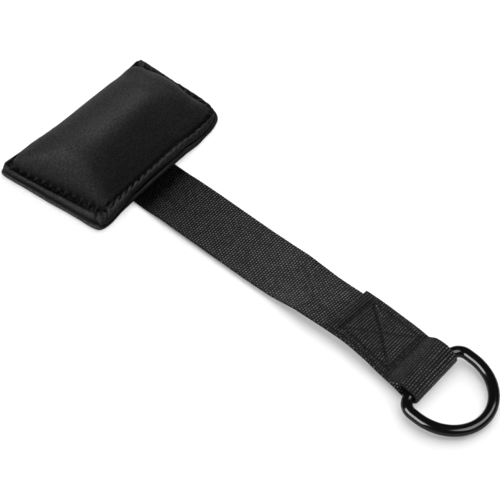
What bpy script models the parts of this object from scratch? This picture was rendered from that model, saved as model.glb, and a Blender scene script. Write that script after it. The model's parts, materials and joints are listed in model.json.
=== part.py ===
"""Door anchor of a suspension trainer: padded block, webbing strap and welded D-ring.

Metres, +Z up. The origin is on the underside, at the middle of the webbing where it leaves the
pad's near long edge. +X runs along the strap towards the ring, +Y along the pad's long side.

The pad is a foam block between two covers that are sewn together round the edge. One length of
38 mm webbing is sewn to the underside, leaves it at the near edge, goes round the straight bar of
the D-ring and is lapped back on itself under a box-X stitch. The webbing bends at two fold lines:
one just outside the pad, one at mid-span. The D-ring swings on its bar in the webbing's loop.

All dimensions below are in millimetres and are turned into metres when a mesh is made.
"""

import math

import bmesh
import bpy
import numpy as np
from mathutils import Vector
from mathutils.geometry import delaunay_2d_cdt

MM = 0.001

# ---------------------------------------------------------------- driving dimensions (mm)
GAP = 0.3                      # clearance between pieces that touch

# pad, seen from above: u = +1 is the near long edge, v = +1 the +Y short end
#                near -Y          near +Y         far +Y           far -Y
OUTLINE = ((-0.2, -49.7), (-2.4, 68.3), (-77.0, 66.4), (-82.0, -58.1))
FAR_WAIST = 4.2                # the far long edge is drawn in this much at mid-length
SEAM_LINE = ((-8.8, -41.0), (-10.4, 60.0), (-69.8, 58.6), (-72.4, -50.2))
COVER_T = 3.0                  # both covers
CROWN_H = 26.8                 # height of the crown over the flange
RIM_ROUND = 0.9                # rounding of the covers' cut edges
RING_POINTS = 48

# webbing
WEB_W = 38.0
WEB_T = 1.8
SEWN_FAR_END = -64.0           # end of the webbing under the pad
FOLD_1_X = 6.0                 # fold line just outside the pad
FOLD_2_X = 104.0               # fold line at mid-span
LAP_END_X = 149.0              # cut end of the lap
PLIES_PART_X = 197.0           # where the two plies open round the bar
FOLD_RELIEF_R = 1.6            # hollow in a webbing end, in which the next end turns

# D-ring
WIRE_D = 6.8
BAR_X, BAR_Y, BAR_Z = 213.5, -3.0, 6.75
RING_HALF_W = 26.0             # wire centreline
RING_LEG = 11.5                # straight part of each leg, from the bar's centreline
RING_BOW = 28.5                # depth of the bow beyond the legs
RING_CORNER_R = 7.5
RING_DROP = 3.25               # the bow's middle lies this much lower than the bar

# stitching
THREAD_T = 0.45
THREAD_W = 1.2
BOX_RING = (156.5, 194.0, -14.8, 14.6)     # box-X at the ring end: s from, s to, v from, v to
BOX_PAD = (-58.0, -24.0, -14.5, 14.5)      # box-X under the pad

# the webbing's run from the pad to the bar: x, height of its middle, side offset, roll in degrees
RUN = (
    (0.0, 0.9, 0.0, 0.0),
    (FOLD_1_X, 0.9, 0.0, 0.0),
    (22.0, 1.9, 0.0, 0.0),
    (76.0, 2.1, 0.0, 0.0),
    (94.0, 2.6, 0.0, 0.0),
    (FOLD_2_X, 3.0, 0.1, 0.0),
    (118.0, 3.9, 0.1, -5.1),
    (130.0, 4.8, 0.0, -9.3),
    (148.0, 5.2, 0.4, -9.9),
    (162.0, 5.3, 0.7, -9.3),
    (178.0, 5.3, -0.1, -6.4),
    (190.0, 5.2, -1.2, -1.8),
    (PLIES_PART_X, 5.0, -1.8, -0.6),
    (BAR_X, 4.2, -2.6, 0.0),
)


# ---------------------------------------------------------------- scene
for old in list(bpy.data.objects):
    bpy.data.objects.remove(old, do_unlink=True)


def material(name, colour, roughness, metallic=0.0):
    m = bpy.data.materials.new(name)
    m.use_nodes = True
    b = m.node_tree.nodes["Principled BSDF"]
    b.inputs["Base Color"].default_value = (*colour, 1.0)
    b.inputs["Roughness"].default_value = roughness
    b.inputs["Metallic"].default_value = metallic
    m.diffuse_color = (*colour, 1.0)
    return m


def pivot(name, at, parent=None):
    """An empty on a joint's axis; what moves with that joint hangs under it."""
    e = bpy.data.objects.new(name, None)
    e.empty_display_size = 0.01
    bpy.context.scene.collection.objects.link(e)
    e["at"] = [c * MM for c in at]
    if parent is not None:
        e.parent = parent
        e.location = Vector(e["at"]) - Vector(parent["at"])
    else:
        e.location = Vector(e["at"])
    return e


def solid(name, verts, faces, parent, mat, cutter=False, smooth=35.0):
    """A mesh object from points in mm; its own coordinates start at its pivot."""
    at = Vector(parent["at"])
    mesh = bpy.data.meshes.new(name)
    mesh.from_pydata([tuple(Vector(v) * MM - at) for v in verts], [], faces)
    bm = bmesh.new()
    bm.from_mesh(mesh)
    bmesh.ops.recalc_face_normals(bm, faces=bm.faces)
    bm.to_mesh(mesh)
    bm.free()
    mesh.shade_smooth()
    mesh.set_sharp_from_angle(angle=math.radians(smooth))
    o = bpy.data.objects.new(name, mesh)
    bpy.context.scene.collection.objects.link(o)
    o.parent = parent
    if mat is not None:
        mesh.materials.append(mat)
    if cutter:
        o.hide_render = True
        o.display_type = "WIRE"
    return o


def cut(target, cutter):
    m = target.modifiers.new("cut_" + cutter.name, "BOOLEAN")
    m.operation = "DIFFERENCE"
    m.object = cutter
    return m


def loft(rings, closed=False, ends=None):
    """Triangles over rings of equal length; ends = (first point, last point) closes them with fans.

    The diagonal always runs from the inner ring's point to the outer ring's next one, so two
    surfaces that lie on each other bend along the same lines.
    """
    n = len(rings[0])
    verts = [p for r in rings for p in r]
    faces = []
    pairs = [(i, i + 1) for i in range(len(rings) - 1)]
    if closed:
        pairs.append((len(rings) - 1, 0))
    girth = [sum(math.hypot(a[0] - b[0], a[1] - b[1]) for a, b in zip(r, r[1:] + r[:1])) for r in rings]
    for i, j in pairs:
        for k in range(n):
            m = (k + 1) % n
            a, b, c, d = i * n + k, j * n + k, j * n + m, i * n + m
            if girth[j] >= girth[i]:
                faces += [(a, b, c), (a, c, d)]
            else:
                faces += [(a, b, d), (b, c, d)]
    if ends:
        a = len(verts)
        verts += [ends[0], ends[1]]
        last = (len(rings) - 1) * n
        for k in range(n):
            m = (k + 1) % n
            faces.append((a, k, m))
            faces.append((a + 1, last + m, last + k))
    return verts, faces


# ---------------------------------------------------------------- pad surfaces
def square_ring(count):
    """Points of the unit square's edge, anticlockwise from its near -Y corner."""
    side = count // 4
    out = []
    for c, (a, b) in enumerate((((1, -1), (1, 1)), ((1, 1), (-1, 1)), ((-1, 1), (-1, -1)), ((-1, -1), (1, -1)))):
        for i in range(side):
            t = i / side
            out.append((a[0] + (b[0] - a[0]) * t, a[1] + (b[1] - a[1]) * t))
    return out


def rounded(b, n, n_near_right=None):
    """The square's edge point b moved onto a superellipse of order n."""
    order = n_near_right if (n_near_right and b[0] > 0 and b[1] > 0) else n
    s = (abs(b[0]) ** order + abs(b[1]) ** order) ** (1.0 / order)
    return b[0] / s, b[1] / s


def in_quad(corners, u, v):
    nl, nr, fr, fl = corners
    a, b = (1 + u) / 2, (1 + v) / 2
    x = a * ((1 - b) * nl[0] + b * nr[0]) + (1 - a) * ((1 - b) * fl[0] + b * fr[0])
    y = a * ((1 - b) * nl[1] + b * nr[1]) + (1 - a) * ((1 - b) * fl[1] + b * fr[1])
    return x, y


def inset(corners, d):
    nl, nr, fr, fl = corners
    return (
        (nl[0] - d, nl[1] + d),
        (nr[0] - d, nr[1] - d),
        (fr[0] + d, fr[1] - d),
        (fl[0] + d, fl[1] + d),
    )


def smoothstep(t):
    t = min(1.0, max(0.0, t))
    return t * t * (3 - 2 * t)


def underside(y):
    """The lower face of the bottom cover: on the webbing in the middle, on the floor at the ends."""
    return (WEB_T + GAP) * (1 - smoothstep((abs(y) - 28.0) / 14.0))


def crown(u, v):
    """Height of the block over its flange, from 0 at the seam to 1."""
    s = (abs(u) ** 9 + abs(v) ** 9) ** (1 / 9)
    fx = max(0.0, 1 - abs(u) ** 2.0) ** 0.52
    fy = max(0.0, 1 - v ** 4.0) ** 0.46 if v > 0 else max(0.0, 1 - abs(v) ** 5.5) ** 0.36
    return fx * fy * max(0.0, 1 - s ** 16) ** 0.18


EDGE = square_ring(RING_POINTS)
CROWN_R = (0.2, 0.4, 0.58, 0.72, 0.83, 0.91, 0.965, 0.99)
CORE_R = CROWN_R[:7]           # the core's edge is blunt: it stops short of the seam
FLOOR_R = (0.4, 0.58, 0.72, 0.83, 0.91)
CORE_UNDER = 0.5               # clearance under the core, over the bottom cover


def seam_point(corners, k, r):
    e = rounded(EDGE[k], 9)
    return (*in_quad(corners, e[0] * r, e[1] * r), e[0] * r, e[1] * r)


def dome_ring(corners, r, base, height):
    ring = []
    for k in range(RING_POINTS):
        x, y, u, v = seam_point(corners, k, r)
        ring.append((x, y, underside(y) + base + height * crown(u, v)))
    return ring


def flange_ring(w, z, corners=SEAM_LINE):
    """A ring in the flange: w = 0 on the seam line, 1 on the outline."""
    ring = []
    for k in range(RING_POINTS):
        x0, y0, _, _ = seam_point(corners, k, 1.0)
        u, v = rounded(EDGE[k], 20, 7)
        x1, y1 = in_quad(OUTLINE, u, v)
        x1 += FAR_WAIST * max(0.0, -u) ** 3 * (1 - v * v)
        x, y = x0 + (x1 - x0) * w, y0 + (y1 - y0) * w
        ring.append((x, y, underside(y) + z))
    return ring


def centre(corners, z):
    x, y = in_quad(corners, 0, 0)
    return x, y, underside(y) + z


TOP_FLANGE_LOW = COVER_T + GAP
TOP_FLANGE_HIGH = TOP_FLANGE_LOW + COVER_T
INNER_LINE = inset(SEAM_LINE, COVER_T + 0.2)
CORE_LINE = inset(SEAM_LINE, COVER_T + 0.8)
SEW_A, SEW_B, SEW_C, SEW_D = 0.07, 0.12, 0.30, 0.35        # the sunk seam's place in the flange
SUNK = THREAD_T + 2 * GAP


def top_cover_rings():
    rings = [dome_ring(SEAM_LINE, r, TOP_FLANGE_HIGH, CROWN_H) for r in CROWN_R]
    rings.append(flange_ring(0.0, TOP_FLANGE_HIGH))
    rings.append(flange_ring(SEW_A, TOP_FLANGE_HIGH))
    rings.append(flange_ring(SEW_B, TOP_FLANGE_HIGH - SUNK))
    rings.append(flange_ring(SEW_C, TOP_FLANGE_HIGH - SUNK))
    rings.append(flange_ring(SEW_D, TOP_FLANGE_HIGH))
    rings.append(flange_ring(0.86, TOP_FLANGE_HIGH))
    rings.append(flange_ring(0.97, TOP_FLANGE_HIGH - RIM_ROUND))
    rings.append(flange_ring(0.97, TOP_FLANGE_LOW + RIM_ROUND))
    rings.append(flange_ring(0.86, TOP_FLANGE_LOW))
    rings.append(flange_ring(0.0, TOP_FLANGE_LOW, INNER_LINE))
    rings += [dome_ring(INNER_LINE, r, TOP_FLANGE_LOW, CROWN_H) for r in reversed(CROWN_R)]
    return loft(
        rings,
        ends=(centre(SEAM_LINE, TOP_FLANGE_HIGH + CROWN_H), centre(INNER_LINE, TOP_FLANGE_LOW + CROWN_H)),
    )


def bottom_cover_rings():
    rings = [dome_ring(CORE_LINE, r, COVER_T, 0.0) for r in CORE_R]
    rings.append(flange_ring(0.0, COVER_T, INNER_LINE))
    rings.append(flange_ring(0.86, COVER_T))
    rings.append(flange_ring(1.0, COVER_T - RIM_ROUND))
    rings.append(flange_ring(1.0, RIM_ROUND))
    rings.append(flange_ring(0.9, 0.0))
    rings.append(flange_ring(SEW_D, 0.0))
    rings.append(flange_ring(SEW_C, SUNK - 0.15))
    rings.append(flange_ring(SEW_B, SUNK - 0.15))
    rings.append(flange_ring(SEW_A, 0.0))
    rings.append(flange_ring(0.0, 0.0))
    rings += [dome_ring(SEAM_LINE, r, 0.0, 0.0) for r in reversed(FLOOR_R)]
    return loft(rings, ends=(centre(CORE_LINE, COVER_T), centre(SEAM_LINE, 0.0)))


def core_rings():
    top = [dome_ring(CORE_LINE, r, TOP_FLANGE_LOW - 0.5, CROWN_H) for r in CORE_R]
    low = [dome_ring(CORE_LINE, r, COVER_T + CORE_UNDER, 0.0) for r in reversed(CORE_R)]
    return loft(
        top + low,
        ends=(centre(CORE_LINE, TOP_FLANGE_LOW - 0.5 + CROWN_H), centre(CORE_LINE, COVER_T + CORE_UNDER)),
    )


def seam_thread_rings(z_low, z_high):
    a, b = SEW_B + 0.045, SEW_C - 0.045
    return loft(
        [flange_ring(a, z_high), flange_ring(b, z_high), flange_ring(b, z_low), flange_ring(a, z_low)],
        closed=True,
    )


# ---------------------------------------------------------------- webbing
def along(x, column):
    """Smooth value of one column of RUN at x."""
    rows = RUN
    if x <= rows[0][0]:
        return rows[0][column]
    if x >= rows[-1][0]:
        return rows[-1][column]
    i = max(j for j in range(len(rows) - 1) if rows[j][0] <= x)

    def slope(j):
        if j == 0 or j == len(rows) - 1:
            return 0.0
        a = (rows[j][column] - rows[j - 1][column]) / (rows[j][0] - rows[j - 1][0])
        b = (rows[j + 1][column] - rows[j][column]) / (rows[j + 1][0] - rows[j][0])
        return 0.0 if a * b <= 0 else 2 * a * b / (a + b)

    h = rows[i + 1][0] - rows[i][0]
    t = (x - rows[i][0]) / h
    p0, p1 = rows[i][column], rows[i + 1][column]
    return (
        p0 * (1 + 2 * t) * (1 - t) ** 2
        + slope(i) * h * t * (1 - t) ** 2
        + p1 * t * t * (3 - 2 * t)
        - slope(i + 1) * h * t * t * (1 - t)
    )


def web_point(x, z, v, side=0.0):
    """A point of the webbing: v across it, z its height at its middle, turned by its roll."""
    roll = math.radians(along(x, 3))
    return x, along(x, 2) + side + v * math.cos(roll), z + v * math.sin(roll)


ACROSS = [WEB_W * (i / 4 - 0.5) for i in range(5)]


def ribbon(name, path, half, parent, mat, sides=None):
    """A webbing strip: path holds (x, z) of its middle, half its half thickness at each point."""
    n = len(path)
    cross = len(ACROSS)
    verts, faces = [], []
    for i, (x, z) in enumerate(path):
        a = path[max(0, i - 1)]
        b = path[min(n - 1, i + 1)]
        d = math.hypot(b[0] - a[0], b[1] - a[1])
        nx, nz = -(b[1] - a[1]) / d, (b[0] - a[0]) / d
        side = sides[i] if sides else 0.0
        for sign in (1, -1):
            for v in ACROSS:
                px, py, pz = web_point(x, z, v, side)
                verts.append((px + sign * half[i] * nx, py, pz + sign * half[i] * nz))
    row = 2 * cross
    for i in range(n - 1):
        p, q = i * row, (i + 1) * row
        for c in range(cross - 1):
            faces.append((p + c, q + c, q + c + 1, p + c + 1))
            faces.append((p + cross + c + 1, q + cross + c + 1, q + cross + c, p + cross + c))
        faces.append((p + cross, q + cross, q, p))
        faces.append((p + cross - 1, q + cross - 1, q + row - 1, p + row - 1))
    for i, flip in ((0, False), (n - 1, True)):
        p = i * row
        for c in range(cross - 1):
            f = (p + c, p + c + 1, p + cross + c + 1, p + cross + c)
            faces.append(tuple(reversed(f)) if flip else f)
    return solid(name, verts, faces, parent, mat)


def nose(x0):
    """Stations and half thicknesses of a rounded end whose middle is at x0."""
    r = WEB_T / 2
    pts = [(x0 - r * math.cos(a), r * math.sin(a)) for a in (math.radians(d) for d in (22, 45, 68))]
    return [p[0] for p in pts], [p[1] for p in pts]


def relief(name, x0, z0, parent):
    """The round hollow across a webbing end, in which the next length's rounded end turns."""
    verts, faces = [], []
    n = 20
    for side in (-1, 1):
        for k in range(n):
            a = 2 * math.pi * k / n
            verts.append((x0 + FOLD_RELIEF_R * math.cos(a), side * WEB_W * 0.7, z0 + FOLD_RELIEF_R * math.sin(a)))
    for k in range(n):
        m = (k + 1) % n
        faces.append((k, m, n + m, n + k))
    faces.append(tuple(range(n)))
    faces.append(tuple(range(2 * n - 1, n - 1, -1)))
    return solid(name, verts, faces, parent, None, cutter=True)


def bezier(p0, p1, p2, p3, steps):
    out = []
    for i in range(1, steps + 1):
        t = i / steps
        out.append(tuple(
            (1 - t) ** 3 * p0[c] + 3 * t * (1 - t) ** 2 * p1[c] + 3 * t * t * (1 - t) * p2[c] + t ** 3 * p3[c]
            for c in (0, 1)
        ))
    return out


# ---------------------------------------------------------------- box-X stitch figure
def meet(p, d, q, e):
    """Where the line through p along d meets the one through q along e."""
    den = d[0] * e[1] - d[1] * e[0]
    t = ((q[0] - p[0]) * e[1] - (q[1] - p[1]) * e[0]) / den
    return p[0] + d[0] * t, p[1] + d[1] * t


def divide(poly, step):
    out = []
    for a, b in zip(poly, poly[1:] + poly[:1]):
        n = max(1, round(math.hypot(b[0] - a[0], b[1] - a[1]) / step))
        out += [(a[0] + (b[0] - a[0]) * i / n, a[1] + (b[1] - a[1]) * i / n) for i in range(n)]
    return out


def box_x(box, band, step):
    """Flat figure of a box with its two diagonals, all of width band: points and triangles."""
    s0, s1, v0, v1 = box
    h = band / 2
    outer = [(s0 - h, v0 - h), (s1 + h, v0 - h), (s1 + h, v1 + h), (s0 - h, v1 + h)]
    length = math.hypot(s1 - s0, v1 - v0)
    d1, d2 = ((s1 - s0) / length, (v1 - v0) / length), ((s1 - s0) / length, -(v1 - v0) / length)
    mid = ((s0 + s1) / 2, (v0 + v1) / 2)
    holes = []
    for side, (ox, oy) in (("low", (0, -1)), ("high", (0, 1)), ("left", (-1, 0)), ("right", (1, 0))):
        lines = []
        for d in (d1, d2):
            nrm = (-d[1], d[0])
            if nrm[0] * ox + nrm[1] * oy < 0:
                nrm = (-nrm[0], -nrm[1])
            lines.append(((mid[0] + nrm[0] * h, mid[1] + nrm[1] * h), d))
        if oy:
            edge = ((mid[0], v0 + h if oy < 0 else v1 - h), (1, 0))
        else:
            edge = ((s0 + h if ox < 0 else s1 - h, mid[1]), (0, 1))
        a = meet(*lines[0], *lines[1])
        b = meet(*lines[0], *edge)
        c = meet(*lines[1], *edge)
        area = (b[0] - a[0]) * (c[1] - a[1]) - (b[1] - a[1]) * (c[0] - a[0])
        holes.append([a, b, c] if area > 0 else [a, c, b])
    pts, edges = [], []
    for loop in [divide(outer, step)] + [divide(q, step) for q in holes]:
        n0 = len(pts)
        pts += loop
        edges += [(n0 + i, n0 + (i + 1) % len(loop)) for i in range(len(loop))]
    got, _, tris, _, _, _ = delaunay_2d_cdt([Vector(p) for p in pts], edges, [], 0, 1e-7)

    def in_hole(c):
        for q in holes:
            if all(
                (q[(i + 1) % 3][0] - q[i][0]) * (c[1] - q[i][1]) - (q[(i + 1) % 3][1] - q[i][1]) * (c[0] - q[i][0]) > 0
                for i in range(3)
            ):
                return True
        return False

    keep = []
    for t in tris:
        c = [sum(got[i][a] for i in t) / len(t) for a in (0, 1)]
        if not in_hole(c):
            keep.append(tuple(t))
    return [tuple(p) for p in got], keep


def plate(name, points, tris, place, low, high, parent, mat, cutter=False):
    """Closed plate over a flat figure; place(s, v, n) gives a point at height n over the sheet."""
    n = len(points)
    verts = [place(p[0], p[1], high) for p in points] + [place(p[0], p[1], low) for p in points]
    faces = [tuple(t) for t in tris] + [tuple(n + i for i in reversed(t)) for t in tris]
    count = {}
    for t in tris:
        for a, b in zip(t, t[1:] + t[:1]):
            count[(a, b)] = count.get((a, b), 0) + 1
    for a, b in list(count):
        if (b, a) not in count:
            faces.append((a, n + a, n + b, b))
    used = sorted({i for f in faces for i in f})
    new = {i: j for j, i in enumerate(used)}
    return solid(name, [verts[i] for i in used], [tuple(new[i] for i in f) for f in faces], parent, mat, cutter)


# ---------------------------------------------------------------- materials
KNIT = material("pad_knit", (0.022, 0.022, 0.023), 0.62)
KNIT_LOW = material("pad_knit_underside", (0.020, 0.020, 0.021), 0.70)
FOAM = material("closed_cell_foam", (0.05, 0.05, 0.052), 0.85)
WEB = material("webbing_sewn_end", (0.024, 0.024, 0.025), 0.60)
WEB_IN = material("webbing_inner_span", (0.024, 0.024, 0.025), 0.60)
WEB_OUT = material("webbing_ring_end", (0.024, 0.024, 0.025), 0.60)
THREADS = [material("thread_%d" % i, (0.018, 0.018, 0.018), 0.45) for i in range(6)]
COAT = material("ring_coat", (0.012, 0.012, 0.013), 0.12)

# ---------------------------------------------------------------- pivots
PAD = pivot("pad_rest", (0, 0, 0))
FOLD_1 = pivot("strap_fold_axis", (FOLD_1_X, 0, RUN[1][1]), PAD)
FOLD_2 = pivot("mid_fold_axis", (FOLD_2_X, 0, RUN[5][1]), FOLD_1)
BAR = pivot("ring_bar_axis", (BAR_X, BAR_Y, BAR_Z), FOLD_2)

# ---------------------------------------------------------------- pad
solid("top_cover", *top_cover_rings(), PAD, KNIT)
bottom = solid("bottom_cover", *bottom_cover_rings(), PAD, KNIT_LOW)
solid("foam_core", *core_rings(), PAD, FOAM)
solid(
    "cover_seam_needle_thread",
    *seam_thread_rings(TOP_FLANGE_HIGH - SUNK + GAP, TOP_FLANGE_HIGH - SUNK + GAP + THREAD_T),
    PAD, THREADS[0],
)
solid("cover_seam_bobbin_thread", *seam_thread_rings(0.15, 0.15 + THREAD_T), PAD, THREADS[1])

# ---------------------------------------------------------------- webbing under the pad
xs = [SEWN_FAR_END, -46.0, -28.0, -10.0, FOLD_1_X - 0.6]
sewn = ribbon(
    "strap_sewn_end", [(x, WEB_T / 2) for x in xs], [WEB_T / 2] * len(xs), PAD, WEB,
)
cut(sewn, relief("fold_1_relief", FOLD_1_X, RUN[1][1], PAD))

pts, tris = box_x(BOX_PAD, THREAD_W + 0.7, 60.0)
flat = lambda s, v, n: (s, v, n)
cut(sewn, plate("anchor_groove_low", pts, tris, flat, -1.0, 0.15 + THREAD_T + GAP, PAD, None, True))
high = WEB_T + GAP + COVER_T
cut(bottom, plate("anchor_groove_high", pts, tris, flat, high - THREAD_T - GAP, high + 2.0, PAD, None, True))
pts, tris = box_x(BOX_PAD, THREAD_W, 60.0)
plate("strap_anchor_needle_thread", pts, tris, flat, 0.15, 0.15 + THREAD_T, PAD, THREADS[2])
plate("strap_anchor_bobbin_thread", pts, tris, flat, high - THREAD_T, high, PAD, THREADS[3])

# ---------------------------------------------------------------- inner span of the webbing
nx, nh = nose(FOLD_1_X)
xs = nx + [FOLD_1_X + 1.0, 14.0, 22.0, 40.0, 58.0, 76.0, 88.0, 96.0, FOLD_2_X - 3.0, FOLD_2_X - 0.6]
hs = nh + [WEB_T / 2] * (len(xs) - len(nh))
inner = ribbon("strap_inner_span", [(x, along(x, 1)) for x in xs], hs, FOLD_1, WEB_IN)
cut(inner, relief("fold_2_relief", FOLD_2_X, RUN[5][1], FOLD_1))

# ---------------------------------------------------------------- ring end: span, loop and lap
LOOP_R = WIRE_D / 2 + GAP + WEB_T / 2
PLY = WEB_T + GAP + 0.05
nx, nh = nose(FOLD_2_X)
base = [FOLD_2_X + 1.0, 110.0, 118.0, 127.0, 137.0, LAP_END_X, 156.0, 164.0, 172.0, 180.0, 188.0, PLIES_PART_X]
path = [(x, along(x, 1)) for x in nx + base]
sides = [0.0] * len(path)
half = nh + [WEB_T / 2] * len(base)
z_part = along(PLIES_PART_X, 1)
low = bezier((PLIES_PART_X, z_part), (203.0, z_part - 0.2), (207.5, BAR_Z - LOOP_R), (BAR_X, BAR_Z - LOOP_R), 5)
arc = [
    (BAR_X + LOOP_R * math.cos(math.radians(a)), BAR_Z + LOOP_R * math.sin(math.radians(a)))
    for a in range(-72, 91, 18)
]
top = bezier((BAR_X, BAR_Z + LOOP_R), (206.5, BAR_Z + LOOP_R + 2.6), (200.5, z_part + PLY + 5.2), (PLIES_PART_X, z_part + PLY), 5)
lap_x = [188.0, 180.0, 172.0, 164.0, 156.0, LAP_END_X]
lap = [(x, along(x, 1) + PLY) for x in lap_x]
path += low + arc + top + lap
sides += [0.0] * len(low + arc) + [0.1 * i for i in range(len(top))] + [0.6, 0.9, 1.2, 1.4, 1.6, 1.7]
half += [WEB_T / 2] * len(low + arc + top + lap)
ribbon("strap_ring_end", path, half, FOLD_2, WEB_OUT, sides)


def on_lap(s, v, n):
    x, y, z = web_point(s, along(s, 1) + PLY + n, v, 1.0)
    return x, y, z


def under_ply(s, v, n):
    x, y, z = web_point(s, along(s, 1) + n, v, 0.0)
    return x, y, z


pts, tris = box_x(BOX_RING, THREAD_W, 7.0)
up = WEB_T / 2 + GAP + 0.05
plate("box_stitch_needle_thread", pts, tris, on_lap, up, up + THREAD_T, FOLD_2, THREADS[4])
plate("box_stitch_bobbin_thread", pts, tris, under_ply, -up - THREAD_T, -up, FOLD_2, THREADS[5])


# ---------------------------------------------------------------- D-ring
def ring_line():
    """Centreline of the wire in the ring's plane: (forward from the bar, sideways)."""
    c, w = RING_CORNER_R, RING_HALF_W
    out = []
    for i in range(7):
        out.append((0.0, -(w - c) + 2 * (w - c) * i / 6))
    for i in range(1, 7):
        a = math.radians(90 * i / 6)
        out.append((c - c * math.cos(a), w - c + c * math.sin(a)))
    out.append((RING_LEG * 0.75, w))
    for i in range(0, 25):
        a = math.pi * i / 24
        out.append((RING_LEG + RING_BOW * math.sin(a), w * math.cos(a)))
    out.append((RING_LEG * 0.75, -w))
    for i in range(6, 0, -1):
        a = math.radians(90 * i / 6)
        out.append((c - c * math.cos(a), -(w - c + c * math.sin(a))))
    return out


def d_ring():
    line = ring_line()
    n = len(line)
    reach = RING_LEG + RING_BOW
    dip = math.atan2(RING_DROP, reach)
    sections = 12
    rings = []
    for i, (f, s) in enumerate(line):
        a, b = line[i - 1], line[(i + 1) % n]
        t = Vector((b[0] - a[0], b[1] - a[1])).normalized()
        out = Vector((t.y, -t.x))
        ring = []
        for k in range(sections):
            q = 2 * math.pi * k / sections
            r = WIRE_D / 2
            ff = f + out.x * r * math.cos(q)
            ss = s + out.y * r * math.cos(q)
            hh = r * math.sin(q)
            ring.append((
                BAR_X + ff * math.cos(dip) + hh * math.sin(dip),
                BAR_Y + ss,
                BAR_Z - ff * math.sin(dip) + hh * math.cos(dip),
            ))
        rings.append(ring)
    return loft(rings, closed=True)


solid("d_ring", *d_ring(), BAR, COAT, smooth=60.0)
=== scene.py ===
"""Looks of the door anchor: knit-covered pad, plain-weave webbing, sewing thread and a coated D-ring."""

import json
import math

import bmesh
import bpy
import numpy as np
from mathutils import Matrix, Vector

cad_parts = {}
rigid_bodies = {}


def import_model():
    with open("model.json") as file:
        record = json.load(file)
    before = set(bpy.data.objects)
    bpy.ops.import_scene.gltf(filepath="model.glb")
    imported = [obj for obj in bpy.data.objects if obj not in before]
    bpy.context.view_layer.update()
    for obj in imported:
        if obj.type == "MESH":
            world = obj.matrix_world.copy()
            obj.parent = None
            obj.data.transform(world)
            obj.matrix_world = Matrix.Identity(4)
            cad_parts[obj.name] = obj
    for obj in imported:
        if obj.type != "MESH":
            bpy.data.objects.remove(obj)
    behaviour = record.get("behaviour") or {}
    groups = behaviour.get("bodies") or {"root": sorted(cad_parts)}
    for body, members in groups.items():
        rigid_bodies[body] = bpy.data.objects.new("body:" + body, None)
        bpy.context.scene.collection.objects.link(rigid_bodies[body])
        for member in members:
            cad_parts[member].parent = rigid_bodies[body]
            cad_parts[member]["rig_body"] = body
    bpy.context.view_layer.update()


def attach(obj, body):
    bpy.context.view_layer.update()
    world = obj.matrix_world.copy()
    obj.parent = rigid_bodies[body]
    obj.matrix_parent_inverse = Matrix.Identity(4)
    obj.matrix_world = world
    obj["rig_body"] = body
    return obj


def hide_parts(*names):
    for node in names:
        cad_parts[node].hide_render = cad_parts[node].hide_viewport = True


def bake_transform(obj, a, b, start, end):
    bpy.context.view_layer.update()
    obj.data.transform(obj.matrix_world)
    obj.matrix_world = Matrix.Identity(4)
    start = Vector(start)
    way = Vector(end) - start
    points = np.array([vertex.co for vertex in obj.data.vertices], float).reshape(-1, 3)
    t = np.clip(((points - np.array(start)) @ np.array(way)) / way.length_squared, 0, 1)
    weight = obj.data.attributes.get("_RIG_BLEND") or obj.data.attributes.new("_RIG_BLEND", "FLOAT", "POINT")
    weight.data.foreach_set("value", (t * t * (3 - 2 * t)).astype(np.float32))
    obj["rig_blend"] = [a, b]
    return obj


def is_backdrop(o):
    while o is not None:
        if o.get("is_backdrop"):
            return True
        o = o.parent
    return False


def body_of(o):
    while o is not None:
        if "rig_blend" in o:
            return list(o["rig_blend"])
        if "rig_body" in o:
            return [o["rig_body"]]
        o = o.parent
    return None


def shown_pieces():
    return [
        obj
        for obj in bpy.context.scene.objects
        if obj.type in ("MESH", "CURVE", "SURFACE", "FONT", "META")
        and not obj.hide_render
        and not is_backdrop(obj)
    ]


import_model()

MM = 0.001

# ================================================================ camera, lights, floor
scene = bpy.context.scene

cam_data = bpy.data.cameras.new("camera")
cam_data.sensor_fit = "HORIZONTAL"
cam_data.sensor_width = 36.0
cam_data.lens = 131.76
cam_data.clip_start, cam_data.clip_end = 0.02, 20.0
camera = bpy.data.objects.new("camera", cam_data)
scene.collection.objects.link(camera)
camera.location = (0.49954, -0.48754, 0.88992)
camera.rotation_mode = "QUATERNION"
camera.rotation_quaternion = Vector((-0.38562, 0.44361, -0.80902)).to_track_quat("-Z", "Y")
scene.camera = camera

scene.view_settings.view_transform = "Standard"
scene.view_settings.look = "None"
scene.view_settings.exposure = 0.0
scene.view_settings.gamma = 1.0


def area(name, toward, far, size, power, size_y=None, aim=(0.06, 0.0, 0.01), spread=180.0, only=None, shaded_by=None):
    """A soft box seen from the object in direction toward, far metres away; only and shaded_by name groups of pieces."""
    d = bpy.data.lights.new(name, "AREA")
    d.shape = "RECTANGLE" if size_y else "SQUARE"
    d.size = size
    if size_y:
        d.size_y = size_y
    d.energy = power
    d.spread = math.radians(spread)
    o = bpy.data.objects.new(name, d)
    scene.collection.objects.link(o)
    o.location = Vector(aim) + Vector(toward).normalized() * far
    o.rotation_mode = "QUATERNION"
    o.rotation_quaternion = (Vector(aim) - o.location).to_track_quat("-Z", "Y")
    if only:
        o.light_linking.receiver_collection = group(only)
    if shaded_by:
        o.light_linking.blocker_collection = group(shaded_by)
    return o


GROUPS = {}


def group(name):
    """A collection that takes light or casts shade as a set."""
    if name not in GROUPS:
        GROUPS[name] = bpy.data.collections.new(name)
    return GROUPS[name]


def in_groups(o, *names):
    for n in names:
        group(n).objects.link(o)


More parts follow.
